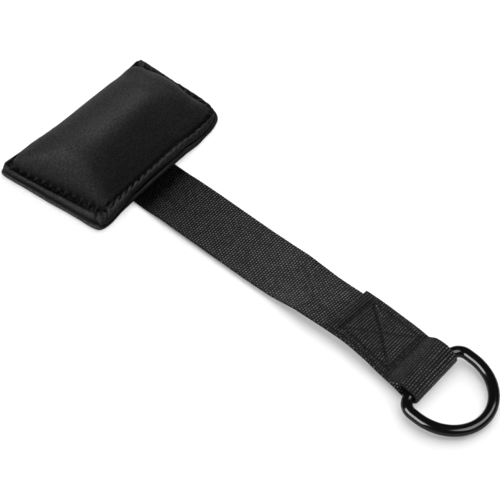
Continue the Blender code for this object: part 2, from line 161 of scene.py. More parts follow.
area("pad_top_box", (-0.33, 0.42, 0.84), 1.3, 1.00, 12.0, 0.75, only="lit_pad")
area("pad_end_box", (-0.35, -0.75, 0.54), 1.3, 0.60, 10.6, 0.95, only="lit_pad")
area("pad_low_box", (0.33, -0.92, 0.21), 1.3, 0.60, 1.0, only="lit_pad")
area("strap_softbox", (-0.90, 0.06, 0.40), 1.2, 0.90, 34.0, 0.68, only="lit_strap")
area("web_fill", (0.2, -0.3, 1.0), 1.3, 0.6, 0.6, only="lit_strap")
area("loop_fill", (0.80, -0.52, 0.52), 0.34, 0.10, 0.07, aim=(0.222, -0.003, 0.008), spread=24.0, only="lit_strap")
area("floor_wash", (-0.10, 0.55, 1.0), 1.8, 3.4, 73.0, only="floor_only", shaded_by="shades_floor")
area("ring_box_left", (-0.28, -0.77, 0.57), 0.9, 0.74, 14.0, 0.62, aim=(0.235, -0.003, 0.005), only="ring_only")
area("ring_box_right", (0.52, 0.24, 0.82), 0.9, 0.92, 7.2, 0.55, aim=(0.235, -0.003, 0.005), only="ring_only")

lamp = bpy.data.lights.new("floor_spot", "SPOT")              # keeps the shadow of the raised end pale
lamp.energy, lamp.spot_size, lamp.spot_blend, lamp.shadow_soft_size = 4.0, math.radians(18.0), 1.0, 0.05
spot = bpy.data.objects.new("floor_spot", lamp)
scene.collection.objects.link(spot)
spot.location = (0.154, -0.052, 0.60)
spot.light_linking.receiver_collection = group("floor_only")
spot.light_linking.blocker_collection = group("floor_only")

lamp = bpy.data.lights.new("floor_even", "SUN")               # the same all over the floor, as far as it reaches
lamp.energy, lamp.angle = 1.06, math.radians(60.0)
even = bpy.data.objects.new("floor_even", lamp)
scene.collection.objects.link(even)
even.rotation_euler = (math.radians(-22.0), math.radians(8.0), 0.0)
even.light_linking.receiver_collection = group("floor_only")
even.light_linking.blocker_collection = group("floor_only")

world = bpy.data.worlds.new("studio")
scene.world = world
world.use_nodes = True
wt = world.node_tree
sky = wt.nodes["Background"]
sky.inputs["Color"].default_value = (1.0, 1.0, 1.0, 1.0)
sky.inputs["Strength"].default_value = 0.02
dim = wt.nodes.new("ShaderNodeBackground")
dim.inputs["Strength"].default_value = 0.05
clear = wt.nodes.new("ShaderNodeBackground")
clear.inputs["Strength"].default_value = 1.0
rays = wt.nodes.new("ShaderNodeLightPath")
mix1 = wt.nodes.new("ShaderNodeMixShader")
mix2 = wt.nodes.new("ShaderNodeMixShader")
wt.links.new(rays.outputs["Is Glossy Ray"], mix1.inputs["Fac"])
wt.links.new(sky.outputs[0], mix1.inputs[1])
wt.links.new(dim.outputs[0], mix1.inputs[2])
wt.links.new(rays.outputs["Is Camera Ray"], mix2.inputs["Fac"])
wt.links.new(mix1.outputs[0], mix2.inputs[1])
wt.links.new(clear.outputs[0], mix2.inputs[2])
wt.links.new(mix2.outputs[0], wt.nodes["World Output"].inputs["Surface"])


# ================================================================ material helpers
def new_material(name):
    m = bpy.data.materials.new(name)
    m.use_nodes = True
    nt = m.node_tree
    bsdf = nt.nodes["Principled BSDF"]
    return m, nt, bsdf


def node(nt, kind, at=(0, 0), **values):
    n = nt.nodes.new(kind)
    n.location = at
    for k, v in values.items():
        if hasattr(n, k):
            setattr(n, k, v)
        else:
            n.inputs[k.replace("_", " ")].default_value = v
    return n


def ramp(nt, source, stops, interpolation="LINEAR"):
    r = nt.nodes.new("ShaderNodeValToRGB")
    r.color_ramp.interpolation = interpolation
    el = r.color_ramp.elements
    el[0].position, el[0].color = stops[0][0], (*([stops[0][1]] * 3), 1.0)
    el[1].position, el[1].color = stops[-1][0], (*([stops[-1][1]] * 3), 1.0)
    for p, v in stops[1:-1]:
        e = el.new(p)
        e.color = (v, v, v, 1.0)
    nt.links.new(source, r.inputs["Fac"])
    return r.outputs["Color"]


def math_node(nt, op, a, b=None, clamp=False):
    n = nt.nodes.new("ShaderNodeMath")
    n.operation = op
    n.use_clamp = clamp
    for i, v in enumerate((a, b)):
        if v is None:
            continue
        if isinstance(v, (int, float)):
            n.inputs[i].default_value = v
        else:
            nt.links.new(v, n.inputs[i])
    return n.outputs[0]


def scale_colour(nt, colour, factor):
    """Colour times a grey factor."""
    n = nt.nodes.new("ShaderNodeVectorMath")
    n.operation = "SCALE"
    nt.links.new(colour, n.inputs[0])
    nt.links.new(factor, n.inputs["Scale"])
    return n.outputs[0]


def bump(nt, height, strength, distance, normal=None):
    n = nt.nodes.new("ShaderNodeBump")
    n.inputs["Strength"].default_value = strength
    n.inputs["Distance"].default_value = distance
    nt.links.new(height, n.inputs["Height"])
    if normal is not None:
        nt.links.new(normal, n.inputs["Normal"])
    return n.outputs["Normal"]


# ================================================================ mesh helpers
def build_mesh(name, verts_mm, quads, mat, tris=None, attributes=None, uv=None):
    """A mesh object from numpy arrays: points in mm, quads (n, 4), tris (m, 3), point attributes."""
    verts = np.asarray(verts_mm, float) * MM
    me = bpy.data.meshes.new(name)
    me.vertices.add(len(verts))
    me.vertices.foreach_set("co", verts.astype(np.float32).ravel())
    quads = np.asarray(quads, int).reshape(-1, 4)
    parts = [quads.ravel()]
    starts = [np.arange(len(quads)) * 4]
    totals = [np.full(len(quads), 4)]
    if tris is not None and len(tris):
        tris = np.asarray(tris, int).reshape(-1, 3)
        parts.append(tris.ravel())
        starts.append(len(quads) * 4 + np.arange(len(tris)) * 3)
        totals.append(np.full(len(tris), 3))
    loops = np.concatenate(parts)
    starts = np.concatenate(starts)
    totals = np.concatenate(totals)
    me.loops.add(len(loops))
    me.loops.foreach_set("vertex_index", loops.astype(np.int32))
    me.polygons.add(len(starts))
    me.polygons.foreach_set("loop_start", starts.astype(np.int32))
    me.polygons.foreach_set("loop_total", totals.astype(np.int32))
    me.update(calc_edges=True)
    me.validate()
    me.shade_smooth()
    for key, values in (attributes or {}).items():
        a = me.attributes.new(key, "FLOAT", "POINT")
        a.data.foreach_set("value", np.asarray(values, np.float32))
    if uv is not None:
        layer = me.uv_layers.new(name="UVMap")
        layer.data.foreach_set("uv", np.asarray(uv, np.float32)[loops].ravel())
    me.materials.append(mat)
    o = bpy.data.objects.new(name, me)
    scene.collection.objects.link(o)
    return o


def tube_mesh(paths, radius, sides=6):
    """Closed tubes along polylines (each an (n, 3) array in mm) with rounded tips: points and quads, tris."""
    verts, quads, tris = [], [], []
    base = 0
    for path in paths:
        p = np.asarray(path, float)
        n = len(p)
        t = np.gradient(p, axis=0)
        t /= np.linalg.norm(t, axis=1)[:, None]
        ref = np.array([0.0, 0.0, 1.0])
        if abs(t[n // 2] @ ref) > 0.9:
            ref = np.array([1.0, 0.0, 0.0])
        a = np.cross(t, ref)
        a /= np.linalg.norm(a, axis=1)[:, None]
        b = np.cross(t, a)
        ang = 2 * np.pi * np.arange(sides) / sides
        r = np.full(n, radius)
        r[0] = r[-1] = radius * 0.55
        ring = (
            p[:, None, :]
            + r[:, None, None] * (np.cos(ang)[None, :, None] * a[:, None, :] + np.sin(ang)[None, :, None] * b[:, None, :])
        )
        verts.append(ring.reshape(-1, 3))
        for i in range(n - 1):
            for k in range(sides):
                m = (k + 1) % sides
                quads.append((base + i * sides + k, base + i * sides + m, base + (i + 1) * sides + m, base + (i + 1) * sides + k))
        verts.append(p[[0, -1]])
        c0, c1 = base + n * sides, base + n * sides + 1
        for k in range(sides):
            m = (k + 1) % sides
            tris.append((c0, base + m, base + k))
            tris.append((c1, base + (n - 1) * sides + k, base + (n - 1) * sides + m))
        base += n * sides + 2
    return np.concatenate(verts), np.array(quads), np.array(tris)


def smoothstep(t):
    t = np.clip(t, 0.0, 1.0)
    return t * t * (3 - 2 * t)


def hash01(i, j, seed=0.0):
    """A repeatable pseudo-random number from 0 to 1 for each pair of integers."""
    x = np.sin(np.asarray(i) * 12.9898 + np.asarray(j) * 78.233 + seed * 37.719) * 43758.5453
    return x - np.floor(x)


def wavy(t, seed, scale):
    """Smooth 1-D noise from about -1 to 1 with features of length scale."""
    k = np.floor(t / scale)
    f = t / scale - k
    a = hash01(k, 7.0, seed) * 2 - 1
    b = hash01(k + 1, 7.0, seed) * 2 - 1
    return a + (b - a) * f * f * (3 - 2 * f)


def cloudy(x, y, seed, scale):
    """Smooth 2-D noise from about -1 to 1."""
    i, j = np.floor(x / scale), np.floor(y / scale)
    fx, fy = x / scale - i, y / scale - j
    fx, fy = fx * fx * (3 - 2 * fx), fy * fy * (3 - 2 * fy)

    def h(a, b):
        return hash01(a, b, seed) * 2 - 1

    return (h(i, j) * (1 - fx) + h(i + 1, j) * fx) * (1 - fy) + (h(i, j + 1) * (1 - fx) + h(i + 1, j + 1) * fx) * fy


# ================================================================ webbing
WEB_W, WEB_T = 38.0, 1.8
FOLD_1, FOLD_2 = (6.0, 0.9), (104.0, 3.0)
LAP_END_X, PLIES_PART_X = 149.0, 197.0
BAR_X, BAR_Y, BAR_Z = 213.5, -3.0, 6.75
WIRE_R = 3.4
PICK = 1.62                       # rib to rib along the strap
WARP = 0.927                      # column to column across it
RUN = np.array([
    (0.0, 0.9, 0.0, 0.0),
    (6.0, 0.9, 0.0, 0.0),
    (22.0, 1.9, 0.0, 0.0),
    (76.0, 2.1, 0.0, 0.0),
    (94.0, 2.6, 0.0, 0.0),
    (104.0, 3.0, 0.1, 0.0),
    (118.0, 3.9, 0.1, -5.1),
    (130.0, 4.8, 0.0, -9.3),
    (148.0, 5.2, 0.4, -9.9),
    (162.0, 5.3, 0.7, -9.3),
    (178.0, 5.3, -0.1, -6.4),
    (190.0, 5.2, -1.2, -1.8),
    (197.0, 5.0, -1.8, -0.6),
    (213.5, 4.2, -2.6, 0.0),
])


def along(x, column):
    """Smooth value of one column of RUN at x: the same monotone cubic as the construction's."""
    rows = RUN
    if x <= rows[0][0]:
        return rows[0][column]
    if x >= rows[-1][0]:
        return rows[-1][column]
    i = max(j for j in range(len(rows) - 1) if rows[j][0] <= x)

    def slope(j):
        if j == 0 or j == len(rows) - 1:
            return 0.0
        a = (rows[j][column] - rows[j - 1][column]) / (rows[j][0] - rows[j - 1][0])
        b = (rows[j + 1][column] - rows[j][column]) / (rows[j + 1][0] - rows[j][0])
        return 0.0 if a * b <= 0 else 2 * a * b / (a + b)

    h = rows[i + 1][0] - rows[i][0]
    t = (x - rows[i][0]) / h
    p0, p1 = rows[i][column], rows[i + 1][column]
    return (
        p0 * (1 + 2 * t) * (1 - t) ** 2
        + slope(i) * h * t * (1 - t) ** 2
        + p1 * t * t * (3 - 2 * t)
        - slope(i + 1) * h * t * t * (1 - t)
    )


def bezier(p0, p1, p2, p3, steps):
    t = np.linspace(0, 1, steps + 1)[1:, None]
    p0, p1, p2, p3 = (np.array(p, float) for p in (p0, p1, p2, p3))
    return (1 - t) ** 3 * p0 + 3 * t * (1 - t) ** 2 * p1 + 3 * t * t * (1 - t) * p2 + t ** 3 * p3


LOOP_R = WIRE_R + 0.3 + WEB_T / 2
PLY = WEB_T + 0.35


def strap_line():
    """Dense centreline of the whole webbing, from its end under the pad round the bar to the cut end."""
    rows = []                                          # x, z, side, roll, role
    for x in np.arange(-64.0, PLIES_PART_X, 0.5):
        z = 0.9 if x < 6 else along(x, 1)
        rows.append((x, z, along(x, 2), along(x, 3)))
    z_part = along(PLIES_PART_X, 1)
    low = bezier((PLIES_PART_X, z_part), (203.0, z_part - 0.2), (207.5, BAR_Z - LOOP_R), (BAR_X, BAR_Z - LOOP_R), 30)
    arc = np.array([
        (BAR_X + LOOP_R * math.cos(math.radians(a)), BAR_Z + LOOP_R * math.sin(math.radians(a)))
        for a in range(-86, 91, 4)
    ])
    top = bezier(
        (BAR_X, BAR_Z + LOOP_R), (206.5, BAR_Z + LOOP_R + 1.5), (202.0, z_part + PLY + 2.8), (PLIES_PART_X, z_part + PLY), 40
    )
    for x, z in low:
        rows.append((x, z, along(x, 2), along(x, 3)))
    for x, z in arc:
        rows.append((x, z, along(x, 2), along(x, 3)))
    for i, (x, z) in enumerate(top):
        rows.append((x, z, along(x, 2) + 0.5 * smoothstep(i / 40), along(x, 3)))
    for x in np.arange(PLIES_PART_X - 0.5, LAP_END_X - 0.01, -0.5):
        extra = 0.5 + 1.2 * (PLIES_PART_X - x) / (PLIES_PART_X - LAP_END_X)
        rows.append((x, along(x, 1) + PLY, along(x, 2) + extra, along(x, 3)))
    return np.array(rows)


LINE = strap_line()
LENGTHS = np.concatenate([[0.0], np.cumsum(np.hypot(np.diff(LINE[:, 0]), np.diff(LINE[:, 1])))])
TOTAL = LENGTHS[-1]


def stations(s):
    """Centre, width direction and face normal of the strap at lengths s."""
    x, z, side, roll = (np.interp(s, LENGTHS, LINE[:, k]) for k in range(4))
    e = 0.6
    xa, za = (np.interp(s - e, LENGTHS, LINE[:, k]) for k in (0, 1))
    xb, zb = (np.interp(s + e, LENGTHS, LINE[:, k]) for k in (0, 1))
    t = np.stack([xb - xa, np.zeros_like(xa), zb - za], 1)
    t /= np.linalg.norm(t, axis=1)[:, None]
    r = np.radians(roll)
    w = np.stack([np.zeros_like(r), np.cos(r), np.sin(r)], 1)
    n = np.cross(t, w)
    n /= np.linalg.norm(n, axis=1)[:, None]
    return np.stack([x, side, z], 1), w, n


def length_at(x, lap=False):
    """Strap length at position x on the lower run, or on the lap."""
    i = int(np.argmin(np.where(LENGTHS > LENGTHS[np.argmax(LINE[:, 0])], np.abs(LINE[:, 0] - x), 1e9))) if lap else int(
        np.argmin(np.where(LENGTHS < LENGTHS[np.argmax(LINE[:, 0])], np.abs(LINE[:, 0] - x), 1e9)))
    return LENGTHS[i]


BOX_RING = (156.5, 194.0, -14.8, 14.6)
BOX_PAD = (-58.0, -24.0, -14.5, 14.5)


def box_lines(box):
    s0, s1, v0, v1 = box
    return [
        ((s0, v0), (s0, v1)), ((s0, v1), (s1, v1)), ((s1, v1), (s1, v0)), ((s1, v0), (s0, v0)),
        ((s0, v1), (s1, v0)), ((s0, v0), (s1, v1)),
    ]


def line_distance(x, v, a, b):
    dx, dv = b[0] - a[0], b[1] - a[1]
    length = math.hypot(dx, dv)
    t = np.clip(((x - a[0]) * dx + (v - a[1]) * dv) / length ** 2, 0, 1)
    return np.hypot(x - a[0] - t * dx, v - a[1] - t * dv), t * length


def weave(s, v, over):
    """Relief of the plain weave, about -1 to 1, and a painted light and shade for each point: painted shade in the
    hollows between ribs and crossings, painted highlight on the float tops.
    """
    bow = 0.22 * wavy(v, 3.0, 9.0) + 0.16 * wavy(s, 5.0, 14.0)
    sp = (s + bow) / PICK
    vp = (v + WEB_W / 2) / WARP
    i, j = np.floor(sp), np.floor(vp)
    a, b = sp - i - 0.5, vp - j - 0.5
    c = np.cos(np.pi * a) * np.cos(np.pi * b)
    sign = np.where(((i + j) % 2 == 0) == over, 1.0, -1.0)
    float_top = smoothstep((sign * c + 0.45) / 1.15)
    rib = np.cos(np.pi * a) ** 2
    vary = hash01(i, j, 1.0 if over else 2.0)
    lot = cloudy(s, v, 4.0 if over else 5.0, 7.0)
    dots = np.clip((0.55 if over else 0.38) + 0.12 * lot, 0.0, 1.0)
    rel = 1.35 * (2 * rib ** 0.8 - 1) + 0.75 * dots * (2 * float_top - 1)
    # painted light and shade: darker in the hollows between ribs and crossings, lighter on the float tops, with a
    # random tone per crossing; the lower face is painted darker still
    weave_light_and_shade = rib ** 0.9 * (1 - dots + dots * 1.25 * float_top) * (0.74 + 0.52 * vary) * (1 + 0.07 * lot)
    if not over:
        weave_light_and_shade = 0.76 * rib ** 0.5 * weave_light_and_shade
    return rel, weave_light_and_shade, a, b


def strap_piece(name, s_from, s_to, mat):
    """A closed woven strip between two lengths of the strap."""
    ds, dv = PICK / 4, WARP / 3
    n_s = int(round((s_to - s_from) / ds)) + 1
    s = np.linspace(s_from, s_to, n_s)
    n_v = int(round(WEB_W / dv)) + 1
    v = np.linspace(-WEB_W / 2, WEB_W / 2, n_v)
    P, W, N = stations(s)
    S, V = np.meshgrid(s, v, indexing="ij")
    x = np.broadcast_to(P[:, 0][:, None], S.shape)
    lap = S > LENGTHS[np.argmax(LINE[:, 0])]
    rim = np.clip((WEB_W / 2 - np.abs(V)) / 1.1, 0, 1)
    half = (WEB_T / 2 - 0.17) * np.sqrt(np.clip(1 - (1 - rim) ** 2, 0.0, 1.0)) + 0.12
    end = np.clip((TOTAL - S) / 1.2, 0, 1)
    half = half * (0.62 + 0.38 * smoothstep(end))

    # box-X lines: the cloth is drawn in under the thread
    def sunk(box, part, depth, width):
        out = np.zeros_like(S)
        for k, (a, b) in enumerate(box_lines(box)):
            d, t = line_distance(x, V, a, b)
            wide = width * (1.9 if a[0] == b[0] else 1.2 if k == 4 else 1.0)     # the rows across are sewn twice
            tight = 1.2 if k == 4 else 0.62 if k == 5 else 1.0                   # the X's second leg is sewn slacker
            out = np.maximum(out, tight * np.exp(-(d / wide) ** 2) * (0.8 + 0.2 * np.cos(2 * np.pi * t / 3.0)))
        return out * depth * part

    lap_groove = sunk(BOX_RING, lap & (x < 198), 1.0, 0.9)
    base_groove = sunk(BOX_RING, ~lap & (x > 150), 1.0, 0.9)
    pad_groove = sunk(BOX_PAD, ~lap & (x < -20), 1.0, 0.9)

    up_rel, up_weave_light, _, _ = weave(S, V, True)
    dn_rel, dn_weave_light, _, _ = weave(S, V, False)
    press = 1 - 0.45 * (lap_groove + base_groove)
    top_h = half + 0.18 * up_rel * press * rim ** 0.5
    low_h = half + 0.18 * dn_rel * press * rim ** 0.5
    # the face that shows on the lap is the webbing's lower face
    low_h = low_h - 0.62 * lap_groove - 0.40 * base_groove - 0.35 * pad_groove
    # selvedge bumps, one to each rib
    bump_v = 0.16 * np.cos(2 * np.pi * (S / PICK)) * (1 - rim) + 0.10 * wavy(S[:, :1], 11.0, 17.0)
    v_out = V + np.sign(V) * bump_v * (rim < 1)

    lift = np.zeros_like(S)
    near_loop = smoothstep((x - 198.0) / 6.0) * smoothstep((216.0 - x) / 6.0)
    lift = lift + lap * near_loop * 1.5 * smoothstep((V + 6.0) / 25.0)
    centre = P[:, None, :] + v_out[..., None] * W[:, None, :] - (lift * 1.0)[..., None] * N[:, None, :]
    top = centre + top_h[..., None] * N[:, None, :]
    low = centre - low_h[..., None] * N[:, None, :]

    n = n_s * n_v
    verts = np.concatenate([top.reshape(-1, 3), low.reshape(-1, 3)])
    idx = np.arange(n).reshape(n_s, n_v)
    q_top = np.stack([idx[:-1, :-1], idx[1:, :-1], idx[1:, 1:], idx[:-1, 1:]], -1).reshape(-1, 4)
    q_low = q_top[:, ::-1] + n
    e0 = np.stack([idx[:-1, 0], idx[:-1, 0] + n, idx[1:, 0] + n, idx[1:, 0]], -1)
    e1 = np.stack([idx[1:, -1], idx[1:, -1] + n, idx[:-1, -1] + n, idx[:-1, -1]], -1)
    c0 = np.stack([idx[0, 1:], idx[0, 1:] + n, idx[0, :-1] + n, idx[0, :-1]], -1)
    c1 = np.stack([idx[-1, :-1], idx[-1, :-1] + n, idx[-1, 1:] + n, idx[-1, 1:]], -1)
    quads = np.concatenate([q_top, q_low, e0, e1, c0, c1])
    # painted shade: the webbing's colour is darkened along the box-X grooves, where the two plies part and where the
    # loop rises off the lap
    dark = np.clip(lap_groove + base_groove + pad_groove, 0, 1)
    dark = np.maximum(dark, 0.62 * lap * np.exp(-((x - 196.0) / 2.4) ** 2))
    dark = np.maximum(dark, 0.55 * lap * smoothstep((213.0 - x) / 7.0) * smoothstep((x - 190.0) / 6.0))
    edge_fade = 0.55 + 0.45 * rim
    weave_light_amt = np.concatenate([(up_weave_light * edge_fade).ravel(), (dn_weave_light * edge_fade).ravel()])
    painted_groove_shade = np.concatenate([dark.ravel(), dark.ravel()])
    melt = np.clip(1 - (TOTAL - S) / 1.6, 0, 1)
    uv = np.concatenate([np.stack([S.ravel(), V.ravel()], 1)] * 2) * 0.001
    if s_to > TOTAL - 1.0:                                            # the cut end is a little ragged
        pull = (smoothstep((S - TOTAL + 2.5) / 2.5) * (0.22 * wavy(V, 61.0, 2.1) + 0.25 * wavy(V, 63.0, 9.0)))[..., None]
        along_x = np.zeros(verts.shape)
        along_x[:, 0] = np.concatenate([pull.ravel()] * 2)
        verts = verts + along_x
    o = build_mesh(
        name, verts, quads, mat,
        attributes={"weave_light_and_shade": weave_light_amt, "stitch_shade": painted_groove_shade, "melted": np.concatenate([melt.ravel()] * 2)},
        uv=uv,
    )
    # the end faces keep their own normals, so that two lengths that meet show no line
    me = o.data
    at_end = np.zeros(len(verts), bool)
    at_end[np.concatenate([idx[0], idx[0] + n, idx[-1], idx[-1] + n])] = True
    pairs = np.empty(len(me.edges) * 2, np.int32)
    me.edges.foreach_get("vertices", pairs)
    sharp = me.attributes.get("sharp_edge") or me.attributes.new("sharp_edge", "BOOLEAN", "EDGE")
    sharp.data.foreach_set("value", at_end[pairs.reshape(-1, 2)].all(1))
    return o


def webbing_material():
    m, nt, b = new_material("webbing_plain_weave")
    weave_light_and_shade = node(nt, "ShaderNodeAttribute", attribute_name="weave_light_and_shade")
    stitch_shade = node(nt, "ShaderNodeAttribute", attribute_name="stitch_shade")
    melted = node(nt, "ShaderNodeAttribute", attribute_name="melted")
    uv = node(nt, "ShaderNodeUVMap", uv_map="UVMap")
    noise = node(nt, "ShaderNodeTexNoise", Scale=140.0, Detail=3.0, Roughness=0.6)
    nt.links.new(uv.outputs["UV"], noise.inputs["Vector"])
    # the weave's painted shade and painted highlight set the base colour
    level = ramp(nt, weave_light_and_shade.outputs["Fac"], [(0.0, 0.0008), (0.25, 0.0040), (0.55, 0.033), (1.0, 0.175)])
    lot = ramp(nt, noise.outputs["Fac"], [(0.30, 0.90), (0.70, 1.08)])
    colour = scale_colour(nt, level, lot)
    # painted shade in the grooves, at the plies' parting and on the loop's rise
    groove_shade_factor = math_node(nt, "MULTIPLY", stitch_shade.outputs["Fac"], -0.86)
    groove_shade_factor = math_node(nt, "ADD", groove_shade_factor, 1.0)
    colour = scale_colour(nt, colour, groove_shade_factor)
    end = math_node(nt, "MULTIPLY", melted.outputs["Fac"], -0.35)
    end = math_node(nt, "ADD", end, 1.0)
    colour = scale_colour(nt, colour, end)
    nt.links.new(colour, b.inputs["Base Color"])
    dull = math_node(nt, "MULTIPLY", stitch_shade.outputs["Fac"], 0.42)
    nt.links.new(math_node(nt, "ADD", dull, 0.55), b.inputs["Roughness"])
    b.inputs["Specular IOR Level"].default_value = 0.14
    b.inputs["Sheen Weight"].default_value = 0.03
    b.inputs["Sheen Roughness"].default_value = 0.45
    # filaments run along the warp: fine lines across the strap's width
    fil = node(nt, "ShaderNodeTexWave", wave_type="BANDS", bands_direction="Y", Scale=1000.0, Distortion=2.0, Detail=1.0)
    fil.inputs["Detail Scale"].default_value = 40.0
    nt.links.new(uv.outputs["UV"], fil.inputs["Vector"])
    grain = node(nt, "ShaderNodeTexNoise", Scale=2200.0, Detail=1.0)
    nt.links.new(uv.outputs["UV"], grain.inputs["Vector"])
    h = math_node(nt, "ADD", math_node(nt, "MULTIPLY", fil.outputs["Fac"], 0.6), math_node(nt, "MULTIPLY", grain.outputs["Fac"], 0.6))
    nt.links.new(bump(nt, h, 0.35, 0.00008), b.inputs["Normal"])
    return m


WEB_MAT = webbing_material()
SPLIT = PICK * round(length_at(55.0) / PICK)
pad_web = strap_piece("webbing_pad_end", 0.0, SPLIT, WEB_MAT)
ring_web = strap_piece("webbing_ring_end", SPLIT, TOTAL, WEB_MAT)
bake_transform(pad_web, "pad", "strap_inner", start=(-0.002, 0, 0.0009), end=(0.014, 0, 0.0009))
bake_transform(ring_web, "strap_inner", "strap_outer", start=(0.094, 0, 0.003), end=(0.114, 0, 0.003))
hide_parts("strap_sewn_end", "strap_inner_span")
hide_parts("strap_ring_end")


# ================================================================ pad
# corners: near -Y, near +Y, far +Y, far -Y
PAD_OUT = ((-0.2, -49.7), (-2.4, 68.3), (-77.0, 66.4), (-82.0, -58.1))      # the lower cover's lip
LIP_OUT = ((-2.6, -47.7), (-4.5, 67.4), (-76.4, 65.8), (-81.2, -56.6))      # the upper cover's lip
SEAM = ((-7.2, -37.6), (-8.4, 64.6), (-71.4, 62.4), (-72.2, -51.8))         # where the dome meets the lip
FAR_WAIST, FAR_OUT = 4.2, 7.6
CROWN_H, FLANGE = 26.8, 6.3
STITCH = 5.7
N_LONG, N_SHORT = 176, 112          # grid cells along the long and the short sides
SEWN_W, SEWN_W_NEAR = 0.12, 0.14    # the stitches' place on the lip, 0 at the dome and 1 at its edge


def closer_at_edges(n):
    t = np.linspace(-1, 1, n + 1)
    return np.sign(t) * (1 - (1 - np.abs(t)) ** 1.25)


def in_quad(corners, u, v):
    nl, nr, fr, fl = corners
    a, b = (1 + u) / 2, (1 + v) / 2
    x = a * ((1 - b) * nl[0] + b * nr[0]) + (1 - a) * ((1 - b) * fl[0] + b * fr[0])
    y = a * ((1 - b) * nl[1] + b * nr[1]) + (1 - a) * ((1 - b) * fl[1] + b * fr[1])
    return x, y


def superellipse(a, b, order):
    """Square-edge points (a, b) moved onto a superellipse of that order (a number or an array)."""
    order = np.broadcast_to(np.asarray(order, float), a.shape)
    s = (np.abs(a) ** order + np.abs(b) ** order) ** (1.0 / order)
    return a / s, b / s


def underside(y):
    """The pad's lower face: on the webbing in the middle, on the floor at the ends."""
    return 2.1 * (1 - smoothstep((np.abs(y) - 28.0) / 14.0))


def seam_place(u, v):
    x, y = in_quad(SEAM, u, v)
    far, near, low = np.maximum(0, -u), np.maximum(0, u), np.maximum(0, -v)
    x = x - FAR_OUT * far ** 3 * np.maximum(0, (low - 0.25) / 0.75) ** 1.5 - 0.7 * near ** 3 * (1 - v * v)
    return x, y + 1.0 * low ** 3 * (1 - u * u)


def edge_place(corners, a, b):
    """A lip's outer edge for square-edge points: crisp corners but for the near +Y one."""
    order = np.where((a > 0) & (b > 0), 7.0, np.where((a < 0) & (b > 0), 34.0, 18.0))
    u, v = superellipse(a, b, order)
    x, y = in_quad(corners, u, v)
    return x + FAR_WAIST * np.maximum(0, -u) ** 3 * (1 - v * v), y


# the near slope's section: nearly level at the ridge, rounded over, then straight down to the seam
_t = np.linspace(0, 1, 201)
_g = (0.22 * _t + 0.78 * smoothstep((_t - 0.00) / 0.64)) * (1 - 0.45 * smoothstep((_t - 0.86) / 0.14))
SLOPE_T, SLOPE_Z = _t, 1 - np.concatenate([[0], np.cumsum((_g[1:] + _g[:-1]) / 2)]) / ((_g[1:] + _g[:-1]) / 2).sum()


def crown(u, v, r):
    un, up, vn, vp = np.maximum(0, -u), np.maximum(0, u), np.maximum(0, -v), np.maximum(0, v)
    full = smoothstep((v - 0.25) / 0.6)                  # the near slope is fuller towards the +Y end
    near = (1 - 0.55 * full) * np.interp(up, SLOPE_T, SLOPE_Z) + 0.55 * full * np.maximum(0, 1 - up ** 2.1) ** 0.60
    fx = np.where(u > 0, near, np.maximum(0, 1 - un ** 2) ** 0.61)
    side = smoothstep((u + 0.55) / 0.9)                  # and the -Y end at its far corner
    low = np.maximum(0, 1 - vn ** (5.5 - 1.5 * side)) ** (0.36 + 0.16 * side)
    fy = np.where(v > 0, np.maximum(0, 1 - vp ** 4) ** 0.70, low)
    return fx * fy * np.maximum(0, 1 - r ** 16) ** 0.24


def end_pull(x):
    """How far the +Y end's shoulder is drawn in along the seam, which makes that end wavy."""
    return (
        1.4 + 3.4 * np.exp(-((x + 60) / 7.0) ** 2) + 2.2 * np.exp(-((x + 27) / 8.0) ** 2)
        - 1.9 * smoothstep((x + 21) / 9.0) - 2.0 * smoothstep((-67 - x) / 5.0)
    )


def dome_points(a, b, base=FLANGE, height=CROWN_H, shrink=0.0):
    """Dome over square coordinates (a, b): x, y, z."""
    r = np.maximum(np.abs(a), np.abs(b))
    safe = np.where(r > 1e-9, r, 1.0)
    eu, ev = superellipse(np.where(r > 1e-9, a / safe, 1.0), np.where(r > 1e-9, b / safe, 0.0), 14.0)
    u, v = eu * r, ev * r
    x, y = seam_place(u, v)
    c = crown(u, v, r)
    y = y - end_pull(x) * smoothstep(c / 0.3) * np.maximum(0, v) ** 6
    shallow = 0.55 * smoothstep((u - 0.85) / 0.1) * smoothstep((v - 0.0) / 0.5)
    z = underside(y) + base - 1.30 * (1 - shallow) * smoothstep((r - 0.95) / 0.05) + height * c
    z = z + 4.0 * (height / CROWN_H) * np.exp(-((x + 64) / 8) ** 2 - ((y - 47) / 9) ** 2) * smoothstep((1 - r) / 0.08)
    if shrink:
        cx, cy = in_quad(SEAM, 0.0, 0.0)
        d = np.hypot(x - cx, y - cy) + 1e-9
        x, y = x - (x - cx) / d * shrink * r, y - (y - cy) / d * shrink * r
    return x, y, z


def grid_normals(p):
    n = np.cross(np.gradient(p, axis=0), np.gradient(p, axis=1))
    n /= np.linalg.norm(n, axis=-1, keepdims=True) + 1e-12
    return n if n[n.shape[0] // 2, n.shape[1] // 2, 2] > 0 else -n


GRID_A, GRID_B = np.meshgrid(closer_at_edges(N_SHORT), closer_at_edges(N_LONG), indexing="ij")   # u, v


def rim_index():
    """Grid indices round the edge, anticlockwise from the near -Y corner."""
    m, n = N_SHORT, N_LONG
    out = [(m, j) for j in range(n)] + [(i, n) for i in range(m, 0, -1)]
    return np.array(out + [(0, j) for j in range(n, 0, -1)] + [(i, 0) for i in range(m)])


RIM = rim_index()
RIM_A, RIM_B = GRID_A[RIM[:, 0], RIM[:, 1]], GRID_B[RIM[:, 0], RIM[:, 1]]
RIM_K = len(RIM)

# which side of the pad a rim point is on, from 0 to 1, with soft changes at the corners
NEAR_SIDE = smoothstep((RIM_A - 0.9) / 0.1)
LOW_SIDE = smoothstep((-RIM_B - 0.9) / 0.1)
HIGH_SIDE = smoothstep((RIM_B - 0.9) / 0.1)

